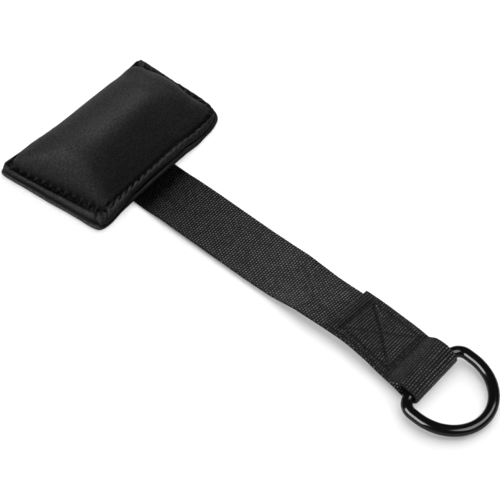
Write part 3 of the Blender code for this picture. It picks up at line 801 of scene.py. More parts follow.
SEAM_X, SEAM_Y, _ = dome_points(RIM_A, RIM_B)
LOW_X, LOW_Y = edge_place(PAD_OUT, RIM_A, RIM_B)
_x, _y = edge_place(LIP_OUT, RIM_A, RIM_B)
_meet = 0.85 * smoothstep((RIM_A - 0.93) / 0.07) * smoothstep((-0.45 - RIM_B) / 0.25)      # no step between the lips here
LIP_X, LIP_Y = _x + (LOW_X - _x) * _meet, _y + (LOW_Y - _y) * _meet


def round_length(x, y):
    d = np.hypot(np.roll(x, -1) - x, np.roll(y, -1) - y)
    return np.concatenate([[0], np.cumsum(d)[:-1]]), d.sum()


_sx, _sy = SEAM_X + (LIP_X - SEAM_X) * SEWN_W, SEAM_Y + (LIP_Y - SEAM_Y) * SEWN_W
SEWN_S, SEWN_LEN = round_length(_sx, _sy)
N_STITCH = int(round(SEWN_LEN / STITCH))
PHASE = SEWN_S / SEWN_LEN * N_STITCH + 0.35 * wavy(SEWN_S, 3.0, 31.0) * 0.4
TO_HOLE = np.abs(PHASE - np.round(PHASE)) * STITCH                # mm along the seam to the nearest hole
TO_MID = np.abs(PHASE - np.floor(PHASE) - 0.5) * STITCH           # and to the middle of the nearest stitch
UNEVEN = 0.70 + 0.6 * hash01(np.floor(PHASE), 3.0, 4.0)           # each stitch is drawn in differently
KNUCKLE = 0.60 + 0.8 * hash01(np.round(PHASE), 6.0, 4.0)          # and the cloth between two stands up differently
KNUCKLE_MID = 0.50 + 1.0 * hash01(np.floor(PHASE), 8.0, 4.0)
PUFF = 0.35 + 0.55 * NEAR_SIDE * smoothstep((8.0 - SEAM_Y) / 40.0) + 0.35 * LOW_SIDE + 0.15 * HIGH_SIDE

# where the lips meet edge to edge, and where the far corner's cloth is bunched up
FLUSH = NEAR_SIDE * smoothstep((-22.0 - SEAM_Y) / 12.0)
FAR_CORNER = np.exp(-((SEAM_X + 79.0) / 8.0) ** 2 - ((SEAM_Y + 53.0) / 11.0) ** 2) * (1 - 0.6 * LOW_SIDE * smoothstep((SEAM_X + 79.0) / 6.0))

# creases where the two runs of stitches meet at the corners: from, to, depth
CREASES = (
    ((-12.0, -39.6), (-7.2, -46.6), 1.4), ((-9.8, -41.2), (-3.6, -43.4), 1.5), ((-8.6, -37.5), (-3.4, -39.6), 1.1),
    ((-16.4, -40.2), (-14.0, -44.6), 0.9), ((-8.2, -33.8), (-4.8, -34.8), 0.8),
    ((-10.4, 60.8), (-5.6, 64.6), 1.4), ((-9.4, 57.2), (-5.4, 58.6), 0.9), ((-14.8, 61.6), (-13.4, 65.4), 0.8),
    ((-72.8, 60.4), (-75.2, 64.4), 1.1), ((-68.2, 60.8), (-68.8, 64.4), 0.9),
    ((-76.6, -51.4), (-79.4, -54.6), 1.1), ((-72.0, -50.4), (-72.8, -54.4), 0.7),
)


def creased(x, y, soft=1.0):
    """Depth of the corner creases at (x, y): below the surface in each crease, a little above beside it."""
    out = np.zeros_like(x)
    for a, b, depth in CREASES:
        d, t = line_distance(x, y, a, b)
        out += depth * (np.exp(-(d / (0.62 * soft)) ** 2) - 0.34 * np.exp(-((d - 1.5) / 0.8) ** 2))
    return out


# the lip's section, from the dome outwards and round to its lower face: place across it, height
LIP_END = (
    (0.02, 4.70), (0.05, 4.35), (0.09, 4.12), (0.13, 4.02), (0.18, 4.00), (0.24, 4.02), (0.31, 4.12), (0.39, 4.40),
    (0.47, 4.90), (0.55, 5.52), (0.63, 6.12), (0.71, 6.60), (0.78, 6.84), (0.84, 6.80), (0.89, 6.46), (0.93, 5.94),
    (0.965, 5.20), (0.99, 4.45), (0.985, 3.95), (0.95, 3.66), (0.89, 3.46), (0.78, 3.36),
)
LIP_NEAR = (
    (0.03, 4.90), (0.06, 4.84), (0.09, 4.92), (0.13, 5.20), (0.18, 5.66), (0.23, 6.12), (0.28, 6.46), (0.33, 6.72),
    (0.39, 6.88), (0.46, 6.94), (0.53, 6.90), (0.60, 6.76), (0.68, 6.50), (0.76, 6.12), (0.84, 5.64), (0.91, 5.10),
    (0.965, 4.60), (0.995, 4.18), (0.985, 3.90), (0.95, 3.66), (0.89, 3.46), (0.78, 3.36),
)
# painted light and shade across the lip, a colour factor: painted shade in the seam, painted highlight over the crest
SHADING_PAINT_END = ((0.0, 0.55), (0.05, 0.42), (0.20, 0.34), (0.36, 0.44), (0.48, 0.66), (0.60, 0.98), (0.70, 1.34), (0.79, 1.62),
           (0.86, 1.50), (0.93, 1.05), (1.0, 0.50))
SHADING_PAINT_NEAR = ((0.0, 0.90), (0.04, 0.78), (0.09, 0.80), (0.16, 1.02), (0.24, 1.34), (0.36, 1.44), (0.48, 1.30), (0.62, 1.05),
            (0.78, 0.90), (0.95, 0.80), (1.0, 0.60))


def upper_cover():
    """The upper cover: a closed shell of sponge sheet with its dome, sewn channel and rounded lip."""
    A, B = GRID_A, GRID_B
    r = np.maximum(np.abs(A), np.abs(B))
    x, y, z = dome_points(A, B)
    top = np.stack([x, y, z], -1)
    n = grid_normals(top)
    away = (1 - r) * 33.0                                            # rough distance to the seam, mm
    ang_k = np.zeros_like(A)
    # the phase of the nearest rim point, so that puckers run in from the stitches
    edge = np.maximum(r, 1e-9)
    ea, eb = A / edge, B / edge
    rim_pos = np.where(
        (np.abs(ea) >= np.abs(eb)) & (ea > 0), 0 + (eb + 1) / 2,
        np.where((np.abs(eb) > np.abs(ea)) & (eb > 0), 1 + (1 - ea) / 2, np.where(ea < 0, 2 + (1 - eb) / 2, 3 + (ea + 1) / 2)),
    )
    rim_pos = np.where((np.abs(eb) > np.abs(ea)) & (eb < 0), 3 + (ea + 1) / 2, rim_pos)
    own = np.where(
        (np.abs(RIM_A) >= np.abs(RIM_B)) & (RIM_A > 0), (RIM_B + 1) / 2,
        np.where((np.abs(RIM_B) > np.abs(RIM_A)) & (RIM_B > 0), 1 + (1 - RIM_A) / 2, np.where(RIM_A < 0, 2 + (1 - RIM_B) / 2, 3 + (RIM_A + 1) / 2)),
    )
    own = np.where((np.abs(RIM_B) > np.abs(RIM_A)) & (RIM_B < 0), 3 + (RIM_A + 1) / 2, own)
    order = np.argsort(own)
    phase = np.interp(rim_pos % 4.0, own[order], PHASE[order])
    slant = 0.13 * away * np.where(A > 0, 1.0, 0.4)
    size = 0.14 + 0.30 * smoothstep((A - 0.8) / 0.2) * smoothstep((10.0 - y) / 30.0)
    vary = 0.4 + 1.2 * hash01(np.round(phase), 5.0, 9.0)
    pucker = size * vary * (0.4 - np.cos(np.pi * (phase + 0.5 + slant)) ** 6) * np.exp(-((away - 0.8) / 1.6) ** 2)
    soft = 0.42 * cloudy(x, y, 2.0, 27.0) + 0.16 * cloudy(x + 3, y, 5.0, 12.0) + 0.035 * cloudy(x, y, 8.0, 3.4)
    soft *= smoothstep(away / 7.0)
    # the cloth is drawn down to the seam in a tight roll
    disp = pucker + soft - creased(x, y, 1.15) * smoothstep(away / 1.0) * np.exp(-(away / 6.0) ** 2)
    disp = disp * smoothstep(away / 0.5)
    # the stitches' pockets reach into the dome's foot, with a knuckle of cloth between each two
    to_mid = np.abs(phase - np.floor(phase) - 0.5) * STITCH
    to_hole = np.abs(phase - np.round(phase)) * STITCH
    lot = hash01(np.round(phase), 6.0, 4.0)
    rise = np.maximum(0, z - underside(y) - (FLANGE - 1.3))
    foot = np.exp(-(rise / 2.0) ** 2)
    end = smoothstep((np.abs(B) - np.abs(A) + 0.02) / 0.03)
    beside = smoothstep((A - np.abs(B) + 0.02) / 0.03) * (0.35 + 0.65 * smoothstep((22.0 - y) / 50.0))
    # painted shade in the stitch pockets, beside the needle holes and in the creases; painted highlight on the knuckles
    # of cloth between the pockets
    painted_shading_top = 1 - 0.72 * end * np.exp(-(to_mid / 2.15) ** 6) * foot + end * (0.05 + 0.55 * lot) * np.exp(-(to_hole / 0.75) ** 2) * foot
    painted_shading_top = painted_shading_top * (1 - 0.65 * beside * np.exp(-(to_hole / 0.80) ** 2) * np.exp(-(rise / 2.2) ** 2))
    painted_shading_top = painted_shading_top * (1 - 0.5 * np.clip(creased(x, y, 1.15), 0, 1) * np.exp(-(away / 6.0) ** 2))
    disp = disp + 0.30 * end * lot * np.exp(-(to_hole / 0.8) ** 2) * foot * smoothstep(away / 0.3)
    top = top + n * disp[..., None]

    def lip_ring(w, lift, outward=0.0):
        """w from the seam (0) to the lip's edge (1); lift is the height over the underside."""
        px = SEAM_X + (LIP_X - SEAM_X) * w
        py = SEAM_Y + (LIP_Y - SEAM_Y) * w
        return px, py, underside(py) + lift

    width = np.hypot(LIP_X - SEAM_X, LIP_Y - SEAM_Y)
    loose = 0.75 * LOW_SIDE * smoothstep((SEAM_X + 50.0) / 45.0)      # the lips part towards the near -Y corner
    rings, painted_shadings = [], []
    for i, ((w_end, h_end), (w_near, h_near)) in enumerate(zip(LIP_END, LIP_NEAR)):
        w = w_end + (w_near - w_end) * NEAR_SIDE
        if i <= 12:                                                  # the +Y end's lip lies flat
            h_end = h_end + (5.95 - h_end) * 0.85 * HIGH_SIDE
        px, py, pz = lip_ring(w, h_end + (h_near - h_end) * NEAR_SIDE)
        pz = pz + loose * smoothstep((w - 0.3) / 0.5)
        if i <= 16:
            pz = pz + FAR_CORNER * (2.4 * (1 - smoothstep((w - 0.45) / 0.3)) + 0.4 * np.sin(np.pi * np.clip(w / 0.95, 0, 1)))
        w = w + FLUSH * (1.0 - w) * (0.0 if i < 15 or i > 18 else 0.85)
        px, py = lip_ring(w, 0.0)[:2]
        at = w - (SEWN_W + (SEWN_W_NEAR - SEWN_W) * NEAR_SIDE)
        # painted light and shade across the lip from the profiles above; the rings on the lip's underside are painted
        # darker, under the lip
        painted_shading = (1 - NEAR_SIDE) * np.interp(w, *zip(*SHADING_PAINT_END)) + NEAR_SIDE * np.interp(w, *zip(*SHADING_PAINT_NEAR))
        if i > 15:
            painted_shading = painted_shading * (0.6 if i > 17 else 0.8) * (1 - 0.35 * LOW_SIDE)
        if i <= 17:
            end = 1 - NEAR_SIDE
            reach_in = (0.8 + 1.2 * end) * (0.7 + 0.6 * hash01(np.floor(PHASE), 12.0, 4.0))
            pocket = np.exp(-(TO_MID / (1.5 + 0.9 * hash01(np.floor(PHASE), 14.0, 4.0))) ** 4) * np.exp(-((at - 0.08 * end) * width / reach_in) ** 2)
            knuckle = np.exp(-(TO_HOLE / 0.8) ** 2) * np.exp(-((at + 0.02) * width / 1.5) ** 2)
            drawn = np.exp(-(TO_MID / 1.7) ** 2) * np.exp(-((at - 0.26) * width / 1.1) ** 2)
            pz = pz - (0.35 + 0.65 * end) * UNEVEN * pocket + 0.62 * end * KNUCKLE * knuckle - 0.45 * end * PUFF * UNEVEN * drawn
            # painted: the +Y end's lip is evened out, the stitch pockets painted darker and the knuckles painted
            # lighter
            painted_shading = painted_shading + (1.05 - painted_shading) * 0.75 * HIGH_SIDE
            painted_shading = painted_shading * (1 - 0.80 * end * pocket) * (1 + 0.55 * end * KNUCKLE * knuckle)
            # the near lip stands up in scallops between the needle holes
            reach = NEAR_SIDE * (0.30 + 0.70 * smoothstep((22.0 - py) / 50.0))
            notch = np.exp(-(TO_HOLE / 0.95) ** 2)
            inner = np.exp(-((at - 0.08) * width / 1.9) ** 2)
            big = 1.0 + 0.45 * smoothstep((-8.0 - py) / 25.0)
            pz = pz + reach * inner * (1.15 * big * KNUCKLE_MID * (1 - notch) - 2.3 * notch)
            pz = pz + 0.7 * NEAR_SIDE * smoothstep((py + 5.0) / 40.0) * np.exp(-((w - 0.05) / 0.07) ** 2)
            # painted shade in the needle-hole notches and the creases, painted highlight on the scallops
            painted_shading = painted_shading * (1 - 0.92 * reach * notch * inner) * (1 + 0.30 * big * reach * inner * (1 - notch))
            painted_shading = painted_shading * (1 - 0.5 * np.clip(creased(px, py), 0, 1))
            pz = pz + (0.16 * wavy(SEWN_S, 21.0, 9.0) + 0.10 * wavy(SEWN_S, 23.0, 3.7)) * smoothstep((w - 0.3) / 0.3)
            pz = pz - creased(px, py) * smoothstep(w / 0.1) * (1 - smoothstep((w - 0.86) / 0.12))
            pz = pz + 0.09 * cloudy(px, py, 12.0, 1.9)
        # a slight wander of the lip's edge
        wander = 0.28 * wavy(SEWN_S, 31.0, 15.0) + 0.20 * wavy(SEWN_S, 33.0, 5.0)
        k = (w * w * wander) / np.maximum(width, 1e-6)
        px = px + (LIP_X - SEAM_X) * k
        py = py + (LIP_Y - SEAM_Y) * k
        rings.append(np.stack([px, py, pz], -1))
        # painted highlight: the cloth at the far corner is painted lighter
        painted_shadings.append(painted_shading + (np.maximum(painted_shading, 1.0) - painted_shading) * np.clip(FAR_CORNER * 1.8, 0, 1))

    # inner face of the shell, a sheet's thickness inside
    ix, iy, iz = dome_points(A, B, FLANGE - 2.9, CROWN_H, shrink=3.0)
    inner = np.stack([ix, iy, iz], -1)
    return top, rings, inner, painted_shading_top, painted_shadings


def shell_mesh(name, top, rings, under, mat, painted_shading_top, painted_shadings):
    """A closed skin: a top grid, rings from its edge outwards and round, and a grid that closes it below.

    The last two arguments are painted light and shade, a colour factor on the grid and on each ring: 1 on the dome,
    painted shade in the seam, painted highlight over the lip.
    """
    m, n = N_SHORT + 1, N_LONG + 1
    idx = np.arange(m * n).reshape(m, n)
    quads = [np.stack([idx[:-1, :-1], idx[1:, :-1], idx[1:, 1:], idx[:-1, 1:]], -1).reshape(-1, 4)]
    verts = [top.reshape(-1, 3)]
    last = idx[RIM[:, 0], RIM[:, 1]]
    base = m * n
    for ring in rings:
        own = base + np.arange(RIM_K)
        quads.append(np.stack([last, own, np.roll(own, -1), np.roll(last, -1)], -1))
        verts.append(ring)
        last, base = own, base + RIM_K
    low = idx + base
    low_rim = low[RIM[:, 0], RIM[:, 1]]
    quads.append(np.stack([last, low_rim, np.roll(low_rim, -1), np.roll(last, -1)], -1))
    quads.append(np.stack([low[:-1, 1:], low[1:, 1:], low[1:, :-1], low[:-1, :-1]], -1).reshape(-1, 4))
    verts.append(under.reshape(-1, 3))
    verts = np.concatenate(verts)

    # cloth coordinates: distance over the surface from the middle, in metres
    cx, cy = in_quad(SEAM, 0.0, 0.0)
    uv = np.stack([verts[:, 0] - cx, verts[:, 1] - cy], 1)
    extra = np.zeros(len(verts))
    rim_pts = top[RIM[:, 0], RIM[:, 1]]
    far = np.zeros(RIM_K)
    prev = rim_pts
    start = m * n
    for ring in rings:
        far = far + np.linalg.norm(ring - prev, axis=1)
        extra[start:start + RIM_K] = far
        prev = ring
        start += RIM_K
    rim_dir = rim_pts[:, :2] - np.array([cx, cy])
    rim_len = np.linalg.norm(rim_dir, axis=1)
    start = m * n
    for ring in rings:
        uv[start:start + RIM_K] = rim_dir * ((rim_len + extra[start:start + RIM_K]) / rim_len)[:, None]
        start += RIM_K
    painted_shading = np.ones(len(verts))
    painted_shading[:m * n] = np.asarray(painted_shading_top).ravel()
    painted_shading[m * n:m * n + len(rings) * RIM_K] = np.concatenate(painted_shadings)
    return build_mesh(name, verts, np.concatenate(quads), mat, attributes={"painted_shading": painted_shading}, uv=uv * 0.001)


def lower_cover():
    """The lower cover: a flat sheet whose lip stands out a little further than the upper one's."""
    A, B = GRID_A, GRID_B
    x, y, _ = dome_points(A, B)
    top = np.stack([x, y, underside(y) + 2.0], -1)
    rings = []
    width = np.hypot(LOW_X - SEAM_X, LOW_Y - SEAM_Y)
    wander = 0.30 * wavy(SEWN_S, 41.0, 17.0) + 0.18 * wavy(SEWN_S, 43.0, 6.0)
    profile = [
        (0.30, 2.1), (0.60, 2.80), (0.72, 3.00), (0.80, 2.90), (0.87, 2.68), (0.93, 2.34), (0.975, 1.90), (1.0, 1.35),
        (0.985, 0.95), (0.95, 0.50), (0.90, 0.20), (0.83, 0.03), (0.6, 0.0), (0.30, 0.0), (0.22, 0.12), (0.17, 0.45),
        (SEWN_W, 0.60), (0.08, 0.45), (0.05, 0.12), (0.02, 0.0),
    ]
    for i, (w, h) in enumerate(profile):
        w = w + FLUSH * (1.0 - w) * (0.8 if 3 <= i <= 7 else 0.0)
        px = SEAM_X + (LOW_X - SEAM_X) * w
        py = SEAM_Y + (LOW_Y - SEAM_Y) * w
        pz = underside(py) + h
        if h > 0.6:
            pz = pz + 0.09 * wavy(SEWN_S, 47.0, 4.4) * smoothstep((w - 0.6) / 0.3) + 0.05 * cloudy(px, py, 15.0, 1.7)
        if 13 < i < 19:
            pz = pz + 0.35 * np.exp(-(TO_HOLE / 0.9) ** 2)
        k = (w * w * wander) / np.maximum(width, 1e-6)
        rings.append(np.stack([px + (LOW_X - SEAM_X) * k, py + (LOW_Y - SEAM_Y) * k, pz], -1))
    under = np.stack([x, y, underside(y) + 0.0], -1)
    sunk = np.zeros_like(x)
    for a, b in box_lines(BOX_PAD):
        d, t = line_distance(x, y, a, b)
        sunk = np.maximum(sunk, np.exp(-(d / 0.9) ** 2))
    top[..., 2] -= 0.5 * sunk
    return top, rings, under


def knit_material(name, level, grain_depth):
    """Fine knit over sponge sheet: short soft pile with small loops in rows."""
    m, nt, b = new_material(name)
    uv = node(nt, "ShaderNodeUVMap", uv_map="UVMap")
    tex = node(nt, "ShaderNodeTexCoord")
    fine = node(nt, "ShaderNodeTexNoise", Scale=1050.0, Detail=2.0, Roughness=0.6)
    nt.links.new(tex.outputs["Object"], fine.inputs["Vector"])
    mid = node(nt, "ShaderNodeTexNoise", Scale=520.0, Detail=3.0, Roughness=0.65)
    nt.links.new(tex.outputs["Object"], mid.inputs["Vector"])
    broad = node(nt, "ShaderNodeTexNoise", Scale=38.0, Detail=2.0, Roughness=0.5)
    nt.links.new(tex.outputs["Object"], broad.inputs["Vector"])
    wales = node(nt, "ShaderNodeTexWave", wave_type="BANDS", bands_direction="X", Scale=380.0, Distortion=1.2, Detail=1.0)
    wales.inputs["Detail Scale"].default_value = 60.0
    nt.links.new(uv.outputs["UV"], wales.inputs["Vector"])
    rows = node(nt, "ShaderNodeTexWave", wave_type="BANDS", bands_direction="Y", Scale=470.0, Distortion=1.6, Detail=1.0)
    rows.inputs["Detail Scale"].default_value = 60.0
    nt.links.new(uv.outputs["UV"], rows.inputs["Vector"])
    loops = math_node(nt, "MULTIPLY", wales.outputs["Fac"], rows.outputs["Fac"])
    tone = ramp(nt, fine.outputs["Fac"], [(0.36, level * 0.38), (0.50, level), (0.64, level * 1.75)])
    tone = scale_colour(nt, tone, ramp(nt, mid.outputs["Fac"], [(0.30, 0.80), (0.70, 1.20)]))
    tone = scale_colour(nt, tone, ramp(nt, broad.outputs["Fac"], [(0.30, 0.92), (0.70, 1.08)]))
    tone = scale_colour(nt, tone, ramp(nt, loops, [(0.0, 0.90), (0.6, 1.10)]))
    # painted light and shade: the colour is scaled by the painted shading factor, darker in the seam and pockets,
    # lighter over the lip's crest
    painted_shading = node(nt, "ShaderNodeAttribute", attribute_name="painted_shading")
    tone = scale_colour(nt, tone, painted_shading.outputs["Fac"])
    nt.links.new(tone, b.inputs["Base Color"])
    b.inputs["Specular IOR Level"].default_value = 0.27
    b.inputs["Sheen Weight"].default_value = 0.01
    b.inputs["Sheen Roughness"].default_value = 0.40
    rough = ramp(nt, fine.outputs["Fac"], [(0.34, 0.65), (0.50, 0.53), (0.66, 0.44)])
    nt.links.new(rough, b.inputs["Roughness"])
    h = math_node(nt, "ADD", math_node(nt, "MULTIPLY", fine.outputs["Fac"], 0.55), math_node(nt, "MULTIPLY", loops, 0.30))
    h = math_node(nt, "ADD", h, math_node(nt, "MULTIPLY", mid.outputs["Fac"], 0.45))
    nt.links.new(bump(nt, h, 0.55, grain_depth), b.inputs["Normal"])
    return m


KNIT = knit_material("cover_knit_upper", 0.0150, 0.00042)
KNIT_LOW = knit_material("cover_knit_lower", 0.0155, 0.00042)

UP_TOP, UP_RINGS, UP_INNER, UP_SHADING_TOP, UP_SHADINGS = upper_cover()
cover = shell_mesh("pad_upper_cover", UP_TOP, UP_RINGS, UP_INNER, KNIT, UP_SHADING_TOP, UP_SHADINGS)
LO_TOP, LO_RINGS, LO_UNDER = lower_cover()
# painted light and shade on the lower cover's lip: painted lighter at the -Y end, a little darker along the near side,
# and painted darker on the rings that lie under the upper lip
LO_SHADINGS = [(1.0 - 0.30 * NEAR_SIDE + 1.10 * LOW_SIDE) * (1.0 if i > 4 else 0.6 if i > 3 else 0.3) for i in range(len(LO_RINGS))]
base_cover = shell_mesh("pad_lower_cover", LO_TOP, LO_RINGS, LO_UNDER, KNIT_LOW, np.ones(GRID_A.shape), LO_SHADINGS)
for o, n in ((cover, "top_cover"), (base_cover, "bottom_cover")):
    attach(o, "pad")
    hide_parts(n)


# ---------------------------------------------------------------- foam block inside
def foam_material():
    m, nt, b = new_material("closed_cell_foam")
    tex = node(nt, "ShaderNodeTexCoord")
    cells = node(nt, "ShaderNodeTexVoronoi", Scale=1400.0)
    nt.links.new(tex.outputs["Object"], cells.inputs["Vector"])
    clouds = node(nt, "ShaderNodeTexNoise", Scale=120.0, Detail=2.0)
    nt.links.new(tex.outputs["Object"], clouds.inputs["Vector"])
    tone = ramp(nt, cells.outputs["Distance"], [(0.0, 0.030), (0.5, 0.055)])
    tone = scale_colour(nt, tone, ramp(nt, clouds.outputs["Fac"], [(0.3, 0.85), (0.7, 1.15)]))
    nt.links.new(tone, b.inputs["Base Color"])
    b.inputs["Roughness"].default_value = 0.85
    nt.links.new(bump(nt, cells.outputs["Distance"], 0.5, 0.00025), b.inputs["Normal"])
    return m


def foam_block():
    """The block in the covers, cut a little smaller than they are."""
    a, b = np.meshgrid(closer_at_edges(N_SHORT // 2), closer_at_edges(N_LONG // 2), indexing="ij")
    x, y, z = dome_points(a * 0.972, b * 0.972, FLANGE - 3.4, CROWN_H, shrink=3.3)
    z = np.maximum(z, underside(y) + 4.1)
    top = np.stack([x, y, z + 0.06 * cloudy(x, y, 4.0, 5.0)], -1)
    low = np.stack([x, y, underside(y) + 3.35], -1)
    m, n = a.shape
    idx = np.arange(m * n).reshape(m, n)
    up = np.stack([idx[:-1, :-1], idx[1:, :-1], idx[1:, 1:], idx[:-1, 1:]], -1).reshape(-1, 4)
    rim = [(m - 1, j) for j in range(n - 1)] + [(i, n - 1) for i in range(m - 1, 0, -1)]
    rim = np.array(rim + [(0, j) for j in range(n - 1, 0, -1)] + [(i, 0) for i in range(m - 1)])
    r0 = idx[rim[:, 0], rim[:, 1]]
    side = np.stack([r0, r0 + m * n, np.roll(r0, -1) + m * n, np.roll(r0, -1)], -1)
    quads = np.concatenate([up, up[:, ::-1] + m * n, side])
    return build_mesh("pad_foam_block", np.concatenate([top.reshape(-1, 3), low.reshape(-1, 3)]), quads, foam_material())


foam = foam_block()
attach(foam, "pad")
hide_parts("foam_core")


# ================================================================ sewing thread
def thread_material():
    m, nt, b = new_material("bonded_thread")
    tex = node(nt, "ShaderNodeTexCoord")
    lay = node(nt, "ShaderNodeTexNoise", Scale=2600.0, Detail=1.0)
    nt.links.new(tex.outputs["Object"], lay.inputs["Vector"])
    twist = node(nt, "ShaderNodeTexWave", wave_type="BANDS", bands_direction="DIAGONAL", Scale=520.0, Distortion=0.6)
    nt.links.new(tex.outputs["Object"], twist.inputs["Vector"])
    tone = ramp(nt, twist.outputs["Fac"], [(0.2, 0.0016), (0.8, 0.0044)])
    tone = scale_colour(nt, tone, ramp(nt, lay.outputs["Fac"], [(0.3, 0.8), (0.7, 1.2)]))
    nt.links.new(tone, b.inputs["Base Color"])
    b.inputs["Roughness"].default_value = 0.5
    b.inputs["Specular IOR Level"].default_value = 0.12
    nt.links.new(bump(nt, twist.outputs["Fac"], 0.5, 0.0001), b.inputs["Normal"])
    return m


THREAD = thread_material()


def stitches(name, paths, radius, body, node_name):
    v, q, t = tube_mesh(paths, radius)
    o = build_mesh(name, v, q, THREAD, tris=t)
    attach(o, body)
    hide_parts(node_name)
    return o


def seam_paths(ring, lift, dive):
    """One short thread from hole to hole along a ring of points; lift is up or down from the ring."""
    wrap = np.vstack([ring, ring[:1]])
    ph = np.append(PHASE, PHASE[0] + N_STITCH)
    out = []
    for i in range(N_STITCH):
        t = np.linspace(i + 0.06, i + 0.94, 9)
        t = np.where(t < ph[0], t + N_STITCH, t)
        p = np.stack([np.interp(t, ph, wrap[:, c]) for c in range(3)], 1)
        s = np.linspace(0, 1, 9)
        arch = np.sin(np.pi * s) ** 0.55
        mid = np.linspace(0, 1, 9)[:, None]
        # drawn straight between the holes, so it bridges the cloth's hollows
        straight = p[:1] * (1 - mid) + p[-1:] * mid
        z = np.maximum(p[:, 2], straight[:, 2]) if lift > 0 else np.minimum(p[:, 2], straight[:, 2])
        p = p * 0.5 + straight * 0.5
        p[:, 2] = z + lift * arch - dive * (1 - arch)
        out.append(p)
    return out


sewn_ring = UP_RINGS[3].copy()
stitches("seam_needle_stitches", seam_paths(sewn_ring, 0.02, 0.35), 0.34, "pad", "cover_seam_needle_thread")
low_ring = LO_RINGS[16].copy()
stitches("seam_bobbin_stitches", seam_paths(low_ring, -0.20, -0.10), 0.30, "pad", "cover_seam_bobbin_thread")


def box_paths(box, place, step, top, dive):
    """Stitches along the lines of a box-X; place(s, v, h) gives a point at height h over the cloth's middle."""
    out = []
    for a, b in box_lines(box):
        length = math.hypot(b[0] - a[0], b[1] - a[1])
        count = int(round(length / step))
        for i in range(count):
            t = np.linspace(i + 0.07, i + 0.93, 7) / count
            arch = np.sin(np.pi * np.linspace(0, 1, 7)) ** 0.5
            h = top - dive * (1 - arch)
            out.append(np.array([place(a[0] + (b[0] - a[0]) * q, a[1] + (b[1] - a[1]) * q, hh) for q, hh in zip(t, h)]))
    return out


TOP_X = np.argmax(LINE[:, 0])
LAP_X, LAP_S = LINE[TOP_X:, 0][::-1], LENGTHS[TOP_X:][::-1]
LOW_RUN_X, LOW_RUN_S = LINE[:TOP_X + 1, 0], LENGTHS[:TOP_X + 1]


def on_lap(x, v, h):
    p, w, n = stations(np.array([np.interp(x, LAP_X, LAP_S)]))
    return p[0] + v * w[0] - h * n[0]


def under_run(x, v, h):
    p, w, n = stations(np.array([np.interp(x, LOW_RUN_X, LOW_RUN_S)]))
    return p[0] + v * w[0] - h * n[0]


stitches("box_x_needle_stitches", box_paths(BOX_RING, on_lap, 2.6, 0.40, 0.45), 0.27, "strap_outer", "box_stitch_needle_thread")
stitches("box_x_bobbin_stitches", box_paths(BOX_RING, under_run, 2.6, 0.72, 0.35), 0.25, "strap_outer", "box_stitch_bobbin_thread")
stitches("anchor_needle_stitches", box_paths(BOX_PAD, under_run, 3.0, 0.62, 0.35), 0.24, "pad", "strap_anchor_needle_thread")
stitches(
    "anchor_bobbin_stitches", box_paths(BOX_PAD, lambda x, v, h: np.array([x, v, h]), 3.0, 4.85, 0.40), 0.24, "pad",
    "strap_anchor_bobbin_thread",
)


# ================================================================ D-ring
def ring_material():
    m, nt, b = new_material("ring_gloss_coat")
    b.inputs["Base Color"].default_value = (0.0022, 0.0022, 0.0023, 1.0)
    b.inputs["Roughness"].default_value = 0.13
    b.inputs["IOR"].default_value = 1.45
    b.inputs["Coat Weight"].default_value = 0.15
    b.inputs["Coat Roughness"].default_value = 0.06
    tex = node(nt, "ShaderNodeTexCoord")
    peel = node(nt, "ShaderNodeTexNoise", Scale=260.0, Detail=2.0, Roughness=0.5)
    nt.links.new(tex.outputs["Object"], peel.inputs["Vector"])
    nt.links.new(bump(nt, peel.outputs["Fac"], 0.12, 0.0002), b.inputs["Normal"])
    return m


RING_HALF_W, RING_LEG, RING_BOW, RING_CORNER_R, RING_DROP = 26.0, 11.5, 28.5, 7.5, 3.25


def ring_path():
    """Centreline of the wire in the ring's plane, closed, as evenly spaced points."""
    c, w = RING_CORNER_R, RING_HALF_W
    pts = [(0.0, y) for y in np.linspace(-(w - c), w - c, 40)]
    pts += [(c - c * math.cos(a), w - c + c * math.sin(a)) for a in np.linspace(0, math.pi / 2, 24)[1:]]
    pts += [(f, w) for f in np.linspace(c, RING_LEG, 6)[1:]]
    pts += [(RING_LEG + RING_BOW * math.sin(a), w * math.cos(a)) for a in np.linspace(0, math.pi, 120)[1:]]
    pts += [(f, -w) for f in np.linspace(RING_LEG, c, 6)[1:]]
    pts += [(c - c * math.cos(a), -(w - c + c * math.sin(a))) for a in np.linspace(math.pi / 2, 0, 24)[1:-1]]
    p = np.array(pts)
    closed = np.vstack([p, p[:1]])
    d = np.concatenate([[0], np.cumsum(np.hypot(*np.diff(closed, axis=0).T))])
    t = np.linspace(0, d[-1], 241)[:-1]
    return np.stack([np.interp(t, d, closed[:, 0]), np.interp(t, d, closed[:, 1])], 1), t, d[-1]


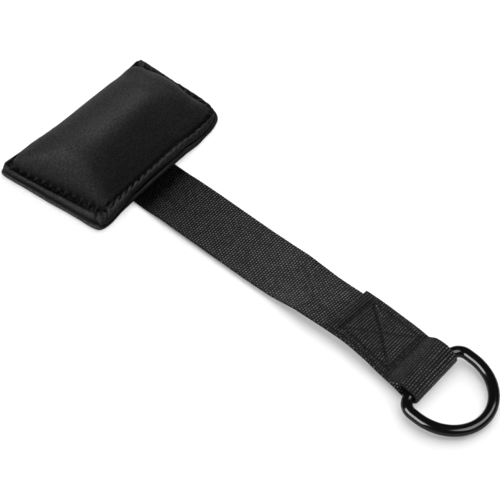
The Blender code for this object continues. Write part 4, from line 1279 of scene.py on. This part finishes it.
def d_ring():
    line, t, total = ring_path()
    n = len(line)
    for _ in range(2):                                 # even out the kinks where straights meet curves
        line = (np.roll(line, 1, 0) + 2 * line + np.roll(line, -1, 0)) / 4
    tan = np.roll(line, -1, 0) - np.roll(line, 1, 0)
    tan /= np.linalg.norm(tan, axis=1)[:, None]
    out = np.stack([tan[:, 1], -tan[:, 0]], 1)
    dip = math.atan2(RING_DROP, RING_LEG + RING_BOW)
    sides = 32
    q = 2 * np.pi * np.arange(sides) / sides
    # the butt weld, half-way along the bar: a low bead
    weld = np.exp(-((t - total * 0.0 - (RING_HALF_W - RING_CORNER_R)) / 1.6) ** 2)
    r = WIRE_R + 0.25 * weld
    ff = line[:, :1] + out[:, :1] * r[:, None] * np.cos(q)[None, :]
    ss = line[:, 1:] + out[:, 1:] * r[:, None] * np.cos(q)[None, :]
    hh = r[:, None] * np.sin(q)[None, :]
    verts = np.stack([
        BAR_X + ff * math.cos(dip) + hh * math.sin(dip),
        BAR_Y + ss,
        BAR_Z - ff * math.sin(dip) + hh * math.cos(dip),
    ], -1).reshape(-1, 3)
    idx = np.arange(n * sides).reshape(n, sides)
    nxt = np.roll(idx, -1, 0)
    quads = np.stack([idx, np.roll(idx, -1, 1), np.roll(nxt, -1, 1), nxt], -1).reshape(-1, 4)
    return build_mesh("d_ring_wire", verts, quads, ring_material())


ring = d_ring()
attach(ring, "ring")
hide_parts("d_ring")


# ================================================================ floor
def floor():
    me = bpy.data.meshes.new("floor")
    s = 3.0
    me.from_pydata([(-s, -s, 0), (s, -s, 0), (s, s, 0), (-s, s, 0)], [], [(0, 1, 2, 3)])
    o = bpy.data.objects.new("floor", me)
    scene.collection.objects.link(o)
    o.location = (0, 0, -0.0003)
    m, nt, b = new_material("floor_paper")
    b.inputs["Base Color"].default_value = (0.86, 0.86, 0.86, 1.0)
    b.inputs["Roughness"].default_value = 0.85
    b.inputs["Specular IOR Level"].default_value = 0.2
    grey = node(nt, "ShaderNodeBsdfDiffuse", Color=(0.37, 0.37, 0.37, 1.0))
    seen = node(nt, "ShaderNodeLightPath")
    mix = node(nt, "ShaderNodeMixShader")
    nt.links.new(seen.outputs["Is Glossy Ray"], mix.inputs["Fac"])
    nt.links.new(b.outputs[0], mix.inputs[1])
    nt.links.new(grey.outputs[0], mix.inputs[2])
    nt.links.new(mix.outputs[0], nt.nodes["Material Output"].inputs["Surface"])
    me.materials.append(m)
    o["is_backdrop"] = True
    in_groups(o, "floor_only")


floor()
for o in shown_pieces():
    if o is not ring:
        in_groups(o, "lit_pad" if body_of(o) == ["pad"] else "lit_strap")
in_groups(pad_web, "shades_floor")
in_groups(ring_web, "shades_floor")
in_groups(ring, "ring_only", "shades_floor")
